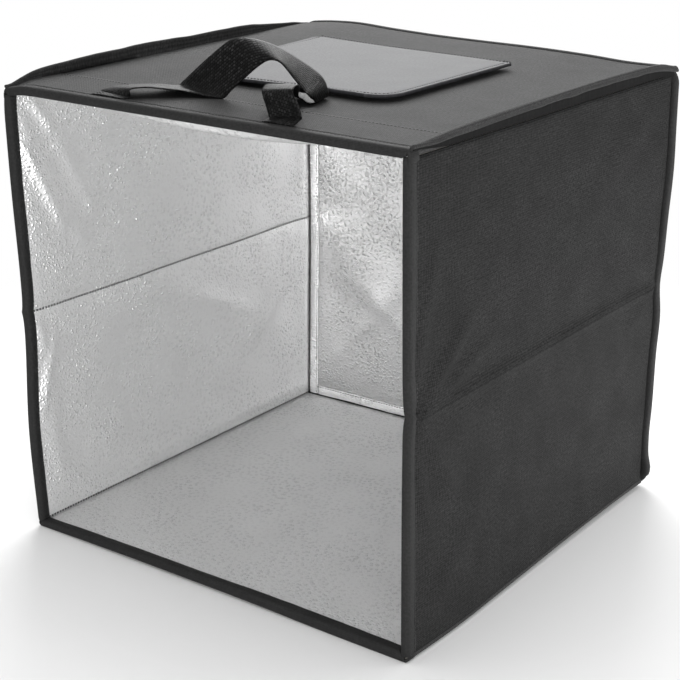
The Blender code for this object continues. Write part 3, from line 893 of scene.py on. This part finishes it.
def back_rim():
    """Tape all round the back panel, with round corners."""
    wide, tall, radius = back_wide, height, back_corner
    corners = (
        (radius, radius, math.pi),
        (wide - radius, radius, 1.5 * math.pi),
        (wide - radius, tall - radius, 0.0),
        (radius, tall - radius, 0.5 * math.pi),
    )
    path = []
    for index, (first, second, start) in enumerate(corners):
        for turn in np.linspace(start, start + math.pi / 2, 9):
            out = math.cos(turn), math.sin(turn)
            path.append((first + radius * out[0], second + radius * out[1], *out))
        following = corners[(index + 1) % 4]
        leave = start + math.pi / 2
        begin = np.array(path[-1][:2])
        end = np.array([following[0] + radius * math.cos(leave), following[1] + radius * math.sin(leave)])
        steps = int(np.linalg.norm(end - begin) / (5 * mm))
        for share in np.arange(1, steps) / steps:
            path.append((*(begin + (end - begin) * share), math.cos(leave), math.sin(leave)))
    path = np.array(path)
    run = np.concatenate([[0], np.cumsum(np.hypot(*np.diff(path[:, :2], axis=0).T))])

    def place(where, distance, depth):
        index = int(np.argmin(abs(run - where)))
        first, second, out_first, out_second = path[index]
        bulge = 2.6 * mm * math.exp(-(((second - 18 * mm) / (9 * mm)) ** 2)) if first > wide - 1 * mm else 0.0
        bulge += 0.6 * mm * smooth_step(second, tall - 8 * mm, tall)
        distance = distance - bulge * (distance < 5 * mm)
        return back.points(first - distance * out_first, second - distance * out_second, depth)

    piece = tape("back_rim_tape", place, run, seed=151, loop=True)
    nodes = [f"back_{edge}_binding" for edge in ("left", "right", "bottom", "top")]
    dress(piece, "back", "binding_tape", *nodes)


back_rim()


# Seam fins


def fin_section(stem, lean, reach, bend, thick):
    """Section of a fin: a stem, a bend as far as its lean, a blade and a round
    nose.  It gives the points, and how many of them come before its outer side."""
    bend_steps = 7
    path, turns = [(0.0, 0.0)], [0.0]
    for step in range(bend_steps + 1):
        angle = lean * step / bend_steps
        path.append((bend - bend * math.cos(angle), stem + bend * math.sin(angle)))
        turns.append(angle)
    blade = max(0.8 * mm, reach - stem - bend * lean)
    from_x, from_z = path[-1]
    for part in (0.33, 0.66, 1.0):
        path.append((from_x + math.sin(lean) * blade * part, from_z + math.cos(lean) * blade * part))
        turns.append(lean)
    # the blade's end is fatter, where its tape is folded over
    fat = [1.0] * (len(path) - 2) + [1.12, 1.2]
    inner, outer = (
        [
            (x + way * math.cos(turn) * thick * full, z - way * math.sin(turn) * thick * full)
            for (x, z), turn, full in zip(path, turns, fat)
        ]
        for way in (-1, 1)
    )
    tip_x, tip_z = path[-1]
    nose = [
        (tip_x - math.cos(lean + turn) * thick * fat[-1], tip_z + math.sin(lean + turn) * thick * fat[-1])
        for turn in np.radians([30, 60, 90, 120, 150])
    ]
    return np.array(inner + nose + outer[::-1]), len(inner) + len(nose)


def fin(name, side, lean_at, stem_at, reach_at, node, seed):
    """A bound seam on the roof's side edge.  Its lean in degrees, its stem and
    its reach in millimetres follow three curves over its length."""
    on_left = side == "left"
    outward = -1 if on_left else 1
    root = half - 1.6 * mm if on_left else half + 0.2 * mm
    # the right one starts lower down the wall, once it is clear of the corner
    deepest = 0 if on_left else 4 * mm
    thick = (1.15 if on_left else 1.35) * mm
    bend = (1.4 if on_left else 1.9) * mm
    ys = spaced(-half + 1 * mm, wall_end + 0.5 * mm, 3.5 * mm)
    shares = (ys - ys[0]) / (ys[-1] - ys[0])
    rings = []
    for y, share in zip(ys, shares):
        extra_stem = deepest * float(smooth_step(share, 0.0, 0.12))
        foot = height - 0.4 * mm - extra_stem
        stem = value_at(stem_at, share) * mm + extra_stem
        lean = math.radians(value_at(lean_at, share) + 5 * noise(y, 0, 45 * mm, seed))
        reach = value_at(reach_at, share) * mm * (1 + 0.04 * noise(y, 0, 17 * mm, seed + 2)) + extra_stem
        section, outer_side_from = fin_section(stem, lean, reach, bend, thick)
        sink = 2.4 * mm * smooth_step(share, 0.93, 1.0)
        place = [outward * (root + section[:, 0]), np.full(len(section), y), foot + section[:, 1] - sink]
        rings.append(warp(np.stack(place, -1)))
    size = len(rings[0])
    uvs = np.stack(np.broadcast_arrays((np.arange(size) * 1.5 * mm)[None], ys[:, None]), -1)
    piece = tube(name, rings, cover_look, uvs)
    # painted shade: the right fin's outer side, under its blade against the wall, gets the near-black binding
    # that stands in for the shade there
    piece.data.materials.append(painted_shade_tape_look if side == "right" else tape_look)
    for face in piece.data.polygons:
        if len(face.vertices) == 4 and min(corner % size for corner in face.vertices) >= outer_side_from:
            face.material_index = 1
    return dress(piece, "roof", "binding_tape", node)


fin(
    "left_roof_fin",
    "left",
    smooth_curve([0, 0.06, 0.5, 1], [30, 10, 3, 8]),
    smooth_curve([0, 1], [0.6, 0.6]),
    smooth_curve(
        [0, 0.05, 0.09, 0.16, 0.23, 0.44, 0.57, 0.71, 0.78, 0.85, 0.92, 1],
        [1.2, 4, 6.6, 9.2, 10.2, 10.2, 8.9, 8.6, 7.4, 4.4, 2.2, 1.6],
    ),
    "left_roof_seam_fin",
    201,
)
right_stations = [0, 0.06, 0.13, 0.28, 0.5, 0.76, 0.9, 1]
fin(
    "right_roof_fin",
    "right",
    smooth_curve([0, 0.05, 0.12, 0.5, 0.92, 1], [60, 150, 172, 175, 172, 160]),
    smooth_curve(right_stations, [0.8, 2.6, 4.4, 6, 7, 7.2, 5.6, 2]),
    smooth_curve(right_stations, [2.6, 7.2, 11, 12.8, 13.8, 14, 12.4, 8.8]),
    "right_roof_seam_fin",
    211,
)


# Back flanges


def facing(name, low, high, body, node):
    """A strip of silver film over the back panel's lining, along one corner."""
    x, z = sheet_grid(low, high, 2.2 * mm)
    across = np.minimum.reduce([x - low[0], high[0] - x, z - low[1], high[1] - z])
    crown = 0.5 * mm * smooth_step(across, 0, 4 * mm)
    crown = crown + 0.3 * mm * noise(x, z, 15 * mm, 7) * smooth_step(across, 0, 3 * mm)
    y = np.full_like(x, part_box(node)[0].y - 0.2 * mm) - crown
    # its texture is taken from another stretch of the film than the wall's
    uvs = np.stack([x, z + 0.3], -1)
    piece = closed_sheet(name, warp(np.stack([x, y, z], -1)), 0.7 * mm, film_look, uvs)
    return dress(piece, body, "silver_lining", node)


for node, body in (
    ("back_left_flange", "back"),
    ("back_right_flange", "back"),
    ("floor_back_flange", "floor"),
    ("roof_back_flange", "roof"),
):
    low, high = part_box(node)
    facing(node.replace("flange", "facing"), (low.x, low.z), (high.x, high.z), body, node)


# Handle

# The strap's two edges, station by station from its left end, in millimetres
strap_edges = (
    ((-117.8, -181.0, 403.6), (-83.0, -185.3, 403.6)),
    ((-118.4, -177.9, 405.0), (-81.6, -185.4, 407.0)),
    ((-117.1, -171.1, 406.0), (-81.7, -185.1, 410.3)),
    ((-110.0, -164.5, 407.0), (-77.6, -181.3, 411.6)),
    ((-100.6, -157.9, 408.0), (-71.7, -172.7, 411.2)),
    ((-92.2, -150.4, 408.0), (-61.4, -165.2, 409.9)),
    ((-87.0, -139.4, 406.6), (-48.1, -154.1, 407.4)),
    ((-82.7, -127.8, 404.4), (-27.2, -144.5, 403.8)),
    ((-77.0, -126.0, 408.9), (-21.9, -141.0, 403.5)),
    ((-63.0, -128.0, 419.4), (-16.6, -138.5, 409.4)),
    ((-47.8, -129.0, 430.9), (-9.6, -135.5, 416.5)),
    ((-34.3, -128.5, 441.2), (-1.7, -132.5, 424.0)),
    ((-24.8, -126.0, 447.5), (6.0, -130.5, 430.6)),
    ((-15.5, -121.0, 449.0), (13.3, -129.5, 435.2)),
    ((-6.0, -114.0, 447.0), (20.7, -130.0, 436.7)),
    ((5.1, -106.5, 442.3), (27.6, -130.0, 435.1)),
    ((18.4, -100.5, 434.5), (33.3, -128.5, 429.2)),
    ((31.6, -97.0, 427.0), (38.9, -127.0, 422.6)),
    ((41.7, -96.0, 420.4), (45.7, -127.0, 417.1)),
    ((47.0, -96.5, 413.1), (53.2, -128.0, 411.9)),
    ((43.0, -90.0, 404.6), (51.0, -117.5, 404.8)),
    ((33.0, -94.0, 404.2), (48.9, -122.4, 404.2)),
    ((16.1, -99.4, 406.0), (42.6, -121.9, 406.5)),
    ((26.0, -132.0, 412.0), (50.0, -137.0, 413.0)),
    ((35.9, -156.7, 423.5), (68.4, -159.9, 427.0)),
    ((46.5, -176.6, 424.5), (78.2, -179.2, 429.0)),
    ((50.8, -181.4, 420.5), (80.7, -182.6, 425.0)),
    ((53.9, -181.2, 412.5), (85.7, -182.4, 417.0)),
    ((58.1, -183.1, 405.0), (87.3, -181.1, 408.0)),
)
strap_level = 402 * mm
sewn_level = 403.3 * mm
strap_bend = 28 * mm


def smooth_route(rows, steps):
    """Rows of places, as points along a smooth line with some steps between them."""
    rows = np.array(rows, float)
    curve = smooth_curve(np.arange(len(rows)), rows)
    return curve(np.linspace(0, len(rows) - 1, (len(rows) - 1) * steps + 1))


def webbing_ribbon(name, one_edge, other_edge):
    """Flat webbing between two edges, with soft rims.  Its texture runs square
    to its middle line, also where the stations lie askew."""
    centres = (one_edge + other_edge) / 2
    halves = (other_edge - one_edge) / 2
    heading = np.gradient(centres, axis=0)
    heading /= np.linalg.norm(heading, axis=1, keepdims=True)
    upward = np.cross(heading, halves)
    upward /= np.linalg.norm(upward, axis=1, keepdims=True)
    slant = (halves * heading).sum(1)
    square = np.sqrt(np.clip((halves**2).sum(1) - slant**2, 0, None))
    shares = np.linspace(-1, 1, 13)
    both_ways = np.concatenate([shares, shares[::-1]])
    run = np.concatenate([[0], np.cumsum(np.linalg.norm(np.diff(centres, axis=0), axis=1))])
    rim = 1 - 0.45 * abs(shares) ** 8
    rings, uvs = [], []
    for centre, half_width, up, length, lean, wide in zip(centres, halves, upward, run, slant, square):
        bow = 0.35 * mm * noise(length, 0, 25 * mm, 17) * (1 - shares**2)
        line = centre + half_width * shares[:, None]
        top = line + up * (bow + rim * webbing_thickness / 2)[:, None]
        under = line + up * (bow - rim * webbing_thickness / 2)[:, None]
        rings.append(np.concatenate([top, under[::-1]]))
        uvs.append(np.stack([length + lean * both_ways, wide * both_ways], -1))
    return tube(name, rings, strap_look, np.array(uvs))


def build_handle():
    """The loose strap, its two sewn ends and the patch under them."""
    one_edge, other_edge = (smooth_route([row[side] for row in strap_edges], 9) * mm for side in (0, 1))
    strap = webbing_ribbon("handle_webbing", one_edge, other_edge)
    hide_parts("handle_strap")
    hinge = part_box("handle_left_anchor")[1].y
    bend_start, bend_end = (0, hinge - 1 * mm, strap_level), (0, hinge + strap_bend, strap_level)
    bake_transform(strap)
    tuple(bend_start)
    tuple(bend_end)
    front = -half + 9.6 * mm
    for side, end in (("left", 0), ("right", -1)):
        near = [edge[end].copy() for edge in (one_edge, other_edge)]
        far = [np.array([point[0] - 1.5 * mm, front, sewn_level]) for point in near]
        shares = np.linspace(0, 1, 7)[:, None]
        lines = [start * (1 - shares) + stop * shares for start, stop in zip(far, near)]
        piece = webbing_ribbon(f"handle_{side}_sewn_end", lines[0], lines[1])
        dress(piece, "roof", "webbing", f"handle_{side}_anchor")
    low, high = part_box("handle_reinforcement")
    side_in = 1.5 * mm
    patch = wall_sheet(
        "handle_patch",
        roof,
        (side_in, low.y + half),
        (2 * half - side_in, high.y + half),
        (-0.35 * mm, 0.5 * mm, cover_look),
        step=3 * mm,
        pucker=lambda first, second: 0.1 * mm * (1 + noise(first, second, 12 * mm, 91)),
    )
    dress(patch, "roof", "cover_cloth", "handle_reinforcement")


build_handle()


# Hatch

hatch_low, hatch_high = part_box("hatch_cover")
sewn_low, sewn_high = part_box("hatch_sewn_edge")
hatch_centre_x = (hatch_low.x + hatch_high.x) / 2
hatch_half = (hatch_high.x - hatch_low.x) / 2
hatch_radius = 22 * mm
# Radii of its back corners, left and right
back_radii = 12 * mm, 2 * mm
hinge_y = (hatch_high.y + sewn_low.y) / 2
flap_end = sewn_high.y - 5.5 * mm
hatch_length = flap_end - hatch_low.y


def askew(x, y):
    """The flap was sewn on askew: its left side leans in towards the front."""
    left = np.clip((hatch_centre_x + 40 * mm - x) / (hatch_half + 40 * mm), 0, 1) ** 0.7
    front = np.clip((flap_end - y) / hatch_length, 0, 1)
    lean = 7 + 9 * front + 12 * smooth_step(front, 0.75, 1)
    return x + left * lean * mm, y - left * front * 13 * mm


def flap_sheet(name, top, thickness, look, end_y, inset=0.0, skirt=0.0, bumps=None):
    """A sheet with the flap's outline, turned down round its edge by a skirt."""
    start_y, end_y = hatch_low.y + inset, end_y - inset
    middle_y = (start_y + end_y) / 2
    radius = hatch_radius - inset
    widest = hatch_half - inset
    back_radius = back_radii[0]
    near_turn = radius * np.cos(np.linspace(0, math.pi / 2, 12))
    back_turn = back_radius * np.sin(np.linspace(0, math.pi / 2, 10))
    along = spaced(start_y + radius, end_y - back_radius, 4 * mm)[1:-1]
    ys = np.concatenate([start_y + radius - near_turn, along, end_y - back_radius + back_turn])
    near = np.clip(start_y + radius - ys, 0, None)
    half_near = widest - radius + np.sqrt(np.clip(radius**2 - near**2, 0, None))
    half_at = []
    for turn in back_radii:
        beyond = np.clip(ys - (end_y - turn), 0, turn)
        half_at.append(np.minimum(half_near, widest - turn + np.sqrt(turn**2 - beyond**2)))
    shares = np.sin(np.linspace(-math.pi / 2, math.pi / 2, 64))
    # four more lines all round make the skirt: how far each drops and is drawn in
    drops = np.array([1, 0.6, 0.3, 0.1]) * skirt if skirt else np.zeros(0)
    pulls = np.array([0, 0, 0.1, 0.35]) * mm if skirt else np.zeros(0)
    rim = len(drops)

    def framed(values, level):
        lines = (ys, shares)
        return [np.concatenate([values, np.full(len(line), level), values[::-1]]) for line in lines]

    row_drop, column_drop = framed(drops, 0.0)
    row_pull, column_pull = framed(pulls, 0.9 * mm if skirt else 0.0)
    row_y, column_share, *row_half = (np.pad(line, rim, "edge") for line in (ys, shares, *half_at))
    drop = np.maximum(row_drop[:, None], column_drop[None])
    pull = np.minimum(row_pull[:, None], column_pull[None])
    x = np.where(column_share < 0, row_half[0][:, None], row_half[1][:, None]) * column_share
    y = np.repeat(row_y[:, None], len(column_share), 1) - middle_y
    drawn = 1 - pull / np.maximum(np.hypot(x, y), 20 * mm)
    x, y = x * drawn + hatch_centre_x, y * drawn + middle_y
    sides = widest - abs(x - hatch_centre_x)
    corner_x = np.clip(abs(x - hatch_centre_x) - (widest - radius), 0, None)
    corner_y = np.clip(start_y + radius - y, 0, None)
    arc = radius - np.hypot(corner_x, corner_y)
    edge = np.minimum.reduce([sides, y - start_y, end_y - y, arc])
    level = top - drop + (bumps(x, y, edge) if bumps else 0)
    x, y = askew(x, y)
    points = warp(np.stack([x, y, level], -1))
    return closed_sheet(name, points, thickness, look, np.stack([x, y], -1), True)


def cover_bumps(x, y, edge):
    """The flap's seam, as a groove along its edge, and slow waves inside it."""
    seam_dip = -0.4 * mm * np.exp(-(((edge - flap_seam) / (0.9 * mm)) ** 2))
    wave = 0.25 * mm * noise(x, y, 55 * mm, 301) + 0.08 * mm * noise(x, y, 14 * mm, 302)
    return seam_dip + wave * smooth_step(edge, 0, 10 * mm)


flap_seam = 4.6 * mm
flap_top = hatch_high.z + 0.2 * mm
flap_bend = 3 * mm
bend_level = 405 * mm
flap = flap_sheet(
    "hatch_flap_cloth", flap_top, cover_thickness, flap_look, flap_end, 0, 2.6 * mm, cover_bumps
)
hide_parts("hatch_cover", "hatch_sewn_edge")
bend_start, bend_end = ((0, hinge_y + way * flap_bend, bend_level) for way in (1, -1))
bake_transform(flap)
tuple(bend_start)
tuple(bend_end)
board_top, lining_top = (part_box(node)[1].z for node in ("hatch_board", "hatch_lining"))
board = flap_sheet("hatch_stiffener", board_top, 1.0 * mm, grey_board_look, hatch_high.y, 1.3 * mm)
dress(board, "hatch", "board", "hatch_board")
film = flap_sheet("hatch_silver_film", lining_top, 0.5 * mm, film_look, hatch_high.y, 3.0 * mm)
dress(film, "hatch", "silver_lining", "hatch_lining")
for node, body in (("hatch_loop_tape", "roof"), ("hatch_hook_tape", "hatch")):
    low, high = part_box(node)
    x, y = np.meshgrid(spaced(low.x, high.x, 3 * mm), spaced(low.y, high.y, 2 * mm), indexing="ij")
    points = warp(np.stack([x, y, np.full_like(x, high.z) + 0.08 * mm * noise(x, y, 5 * mm, 9)], -1))
    piece = closed_sheet(node + "_strip", points, high.z - low.z, fuzzy_look, np.stack([x, y], -1))
    dress(piece, body, "fastener_tape", node)


# Stitches


def stitch_tree():
    """Geometry nodes that lay one small rounded stitch after another on lines."""
    tree = bpy.data.node_groups.new("Stitch rows", "GeometryNodeTree")
    for name, kind in (
        ("Lines", "NodeSocketGeometry"),
        ("Pitch", "NodeSocketFloat"),
        ("Length", "NodeSocketFloat"),
        ("Radius", "NodeSocketFloat"),
        ("Thread", "NodeSocketMaterial"),
    ):
        tree.interface.new_socket(name, in_out="INPUT", socket_type=kind)
    tree.interface.new_socket("Stitches", in_out="OUTPUT", socket_type="NodeSocketGeometry")
    given = tree.nodes.new("NodeGroupInput").outputs
    curve = add(tree, "GeometryNodeMeshToCurve", {"Mesh": given["Lines"]})
    even = add(tree, "GeometryNodeResampleCurve", {"Curve": curve, "Length": given["Pitch"]}, mode="LENGTH")
    half_length = maths(tree, "MULTIPLY", given["Length"], 0.5)
    size = add(tree, "ShaderNodeCombineXYZ", {"X": half_length, "Y": given["Radius"], "Z": given["Radius"]})
    bead = add(tree, "GeometryNodeMeshUVSphere", {"Segments": 6, "Rings": 4, "Radius": 1.0}, "Mesh")
    stitch = add(tree, "GeometryNodeTransform", {"Geometry": bead, "Scale": size})
    way = add(tree, "GeometryNodeInputTangent")
    turned = add(tree, "FunctionNodeAlignRotationToVector", {"Vector": way}, axis="X")
    laid = add(tree, "GeometryNodeInstanceOnPoints", {"Points": even, "Instance": stitch, "Rotation": turned})
    real = add(tree, "GeometryNodeRealizeInstances", {"Geometry": laid})
    smooth = add(tree, "GeometryNodeSetShadeSmooth", {"Geometry": real})
    coloured = add(tree, "GeometryNodeSetMaterial", {"Geometry": smooth, "Material": given["Thread"]})
    add(tree, "NodeGroupOutput", {"Stitches": coloured})
    return tree


rows_of = {}


def row(body, points):
    """Note one row of stitches, which goes with a body."""
    rows_of.setdefault(body, []).append(np.asarray(points, float))


def wall_row(wall, body, first, second, depth, lined=False):
    """A straight row on a wall, between two values of one of its lengths.
    lined: it lies on the lining, wherever that puckers to."""
    count = 80
    first, second = (
        np.linspace(*value, count) if isinstance(value, tuple) else np.full(count, value)
        for value in (first, second)
    )
    extra = -wall.inner_pucker(first, second) if lined else 0.0
    row(body, wall.points(first, second, depth, extra))


stitch_values = {"Pitch": 3.3 * mm, "Length": 2.8 * mm, "Radius": 0.42 * mm, "Thread": stitch_look}


def sew():
    """Turn each body's rows into one mesh of stitches."""
    tree = stitch_tree()
    socket = {item.name: item.identifier for item in tree.interface.items_tree if item.in_out == "INPUT"}
    for body, lines in rows_of.items():
        points, runs = [], []
        for line in lines:
            runs += [(len(points) + step, len(points) + step + 1) for step in range(len(line) - 1)]
            points += line.tolist()
        mesh = bpy.data.meshes.new("rows")
        mesh.from_pydata(points, runs, [])
        guide = bpy.data.objects.new("rows", mesh)
        bpy.context.scene.collection.objects.link(guide)
        rows = guide.modifiers.new("Stitch rows", "NODES")
        rows.node_group = tree
        for name, value in stitch_values.items():
            rows[socket[name]] = value
        bpy.context.view_layer.update()
        laid = bpy.data.meshes.new_from_object(guide.evaluated_get(bpy.context.evaluated_depsgraph_get()))
        guide.modifiers.clear()
        bpy.data.objects.remove(guide)
        laid.name = f"{body}_stitches"
        piece = bpy.data.objects.new(f"{body}_stitches", laid)
        bpy.context.scene.collection.objects.link(piece)
        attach(piece, body)


# How far in from an edge and how deep a row lies: on the outer leg of a tape,
# on its inner leg and on the lining
outer_in, outer_depth = 8.4 * mm, -0.75 * mm
inner_in, inner_depth = 6.6 * mm, 6.45 * mm
lining_row_depth = 5.15 * mm
near_fold = 5 * mm
end_gap = 9 * mm
for side, wall in (("left", left), ("right", right)):
    low, high = panel + seam, height - panel - seam
    lower, upper = f"{side}_lower", f"{side}_upper"
    for body, level in (
        (upper, crease_z + 0.5 * mm),
        (lower, crease_z - 0.5 * mm),
        (lower, low + 1.1 * mm),
        (lower, low + 2 * mm),
        (upper, high - 1.6 * mm),
    ):
        wall_row(wall, body, (end_gap, wall_depth - 1 * mm), level, lining_row_depth, True)
    spans = (lower, (low + 2 * mm, crease_z - near_fold)), (upper, (crease_z + near_fold, high - 2 * mm))
    for body, span in spans:
        wall_row(wall, body, outer_in, span, outer_depth)
        wall_row(wall, body, inner_in, span, inner_depth)
wall_row(roof, "roof", (2 * mm, 2 * half - 2 * mm), outer_in, outer_depth)
wall_row(floor, "floor", (6 * mm, 2 * half - 6 * mm), inner_in, inner_depth)
for across in (outer_in, back_wide - outer_in):
    wall_row(back, "back", across, (end_gap, height - end_gap), outer_depth)
for up in (outer_in, height - outer_in):
    wall_row(back, "back", (end_gap, back_wide - end_gap), up, outer_depth)
patch_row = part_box("handle_reinforcement")[1].y + half - 2.2 * mm
wall_row(roof, "roof", (4 * mm, 2 * half - 4 * mm), patch_row, -0.4 * mm)
flanges = {"back_left_flange": "back", "back_right_flange": "back", "floor_back_flange": "floor"}
for node, body in flanges.items():
    low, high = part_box(node)
    count = 60
    y = np.full(count, low.y - 0.45 * mm)
    if high.x - low.x < high.z - low.z:
        for x in (low.x + 1 * mm, high.x - 1.2 * mm):
            z = np.linspace(low.z + 1 * mm, high.z - 1 * mm, count)
            row(body, warp(np.stack([np.full(count, x), y, z], -1)))
    else:
        x = np.linspace(low.x + 1 * mm, high.x - 1 * mm, count)
        row(body, warp(np.stack([x, y, np.full(count, high.z - 1.4 * mm)], -1)))
stitch_level = 404.3 * mm
for one, other in (strap_edges[0], strap_edges[-1]):
    x = np.linspace(one[0], other[0], 14)[1:-1] * mm
    for y in (-187.5 * mm, -185 * mm):
        row("roof", np.stack([x, np.full(12, y), np.full(12, stitch_level)], -1))


def flap_rows():
    """Rows round the flap: along its free sides, at its sewn edge, and a tack."""
    radius = hatch_radius - flap_seam
    widest = hatch_half - flap_seam
    near, far = hatch_low.y + flap_seam, hinge_y - 4 * mm
    line = [(-widest, far), (-widest, near + radius)]
    for turn in np.linspace(math.pi, 1.5 * math.pi, 12):
        line.append((-widest + radius + radius * math.cos(turn), near + radius + radius * math.sin(turn)))
    line += [(-x, y) for x, y in line[::-1]]
    x, y = askew(*(np.array(line).T + [[hatch_centre_x], [0]]))
    row("hatch", warp(np.stack([x, y, np.full(len(x), hatch_high.z + 0.05 * mm)], -1)))
    x, y = askew(hatch_centre_x + np.linspace(-widest, widest, 40), np.full(40, flap_end - 2 * mm))
    row("roof", warp(np.stack([x, y, np.full(40, hatch_high.z + 0.3 * mm)], -1)))
    tack = np.linspace((widest - 3 * mm, flap_end - 1 * mm), (widest + 3.5 * mm, flap_end - 2.5 * mm), 8)
    tack_level = np.full((8, 1), hatch_high.z + 0.7 * mm)
    row("roof", warp(np.concatenate([tack + [hatch_centre_x, 0], tack_level], 1)))


flap_rows()
sew()


# Stage


def build_stage():
    """Pale paper under four soft lights: one behind, one overhead, one in front
    and a small one low at the right side."""
    turns = np.linspace(0, 2 * math.pi, 97)[:-1]
    radius = 1.05
    rim = [(radius * math.cos(turn), radius * math.sin(turn), 0) for turn in turns]
    paper, tree, shader, where = new_look("Matt pale paper", "eeeeee", 0.95, shine=0.1, laid="Object")
    # it fades out towards its rim, so that no horizon shows
    away = add(tree, "ShaderNodeVectorMath", {0: where}, "Value", operation="LENGTH")
    clear = add(tree, "ShaderNodeBsdfTransparent")
    surface = {0: ramp(tree, away, 0.32, 0.8), 1: shader.outputs[0], 2: clear}
    tree.links.new(add(tree, "ShaderNodeMixShader", surface), tree.nodes["Material Output"].inputs["Surface"])
    ground = mesh_object("studio_floor", rim, [list(range(len(rim)))], paper, closed=False)
    ground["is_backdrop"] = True
    world = bpy.context.scene.world or bpy.data.worlds.new("studio")
    bpy.context.scene.world = world
    world.use_nodes = True
    tree = world.node_tree
    tree.nodes.clear()
    seen, lighting = (
        add(tree, "ShaderNodeBackground", {"Color": linear("ffffff"), "Strength": strength})
        for strength in (1.0, 0.68)
    )
    ray = add(tree, "ShaderNodeLightPath", out="Is Camera Ray")
    both = add(tree, "ShaderNodeMixShader", {0: ray, 1: lighting, 2: seen})
    add(tree, "ShaderNodeOutputWorld", {"Surface": both})
    # each lamp's place, target, width in metres and power in watts
    for name, place, target, size, power in (
        ("back_softbox", (-1.1, 1.6, 1.5), (0, 0, 0.35), 1.4, 42),
        ("overhead_softbox", (-0.1, 0.3, 2.1), (0, 0, 0.3), 1.6, 21),
        ("front_softbox", (1.35, -1.7, 0.2), (-0.15, 0, 0.25), 1.1, 40),
        ("side_softbox", (0.74, 0.42, 0.02), (0.2, 0.18, 0.0), 0.3, 4.8),
    ):
        lamp = bpy.data.lights.new(name, "AREA")
        lamp.shape = "SQUARE"
        lamp.size = size
        lamp.energy = power
        holder = bpy.data.objects.new(name, lamp)
        bpy.context.scene.collection.objects.link(holder)
        holder.location = place
        holder.rotation_euler = (Vector(target) - Vector(place)).to_track_quat("-Z", "Y").to_euler()


def build_camera():
    """The photograph's camera, fitted to the tent's corners."""
    lens = bpy.data.cameras.new("camera")
    lens.sensor_width = 36
    lens.lens = 90.45
    camera = bpy.data.objects.new("camera", lens)
    bpy.context.scene.collection.objects.link(camera)
    right_way = Vector((0.80421, 0.59434, -0.00268))
    up_way = Vector((-0.19791, 0.27205, 0.94171))
    back_way = Vector((0.56043, -0.75680, 0.33641))
    turn = Matrix((right_way, up_way, back_way)).transposed()
    camera.matrix_world = Matrix.Translation((0.85004, -1.16467, 0.67857)) @ turn.to_4x4()
    bpy.context.scene.camera = camera


build_stage()
build_camera()
bpy.context.scene.view_settings.view_transform = "Standard"
bpy.context.view_layer.update()

sizes = {"cad": cad_bounds, "visual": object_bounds()}
{name: [list(corner) for corner in corners] for name, corners in sizes.items()}
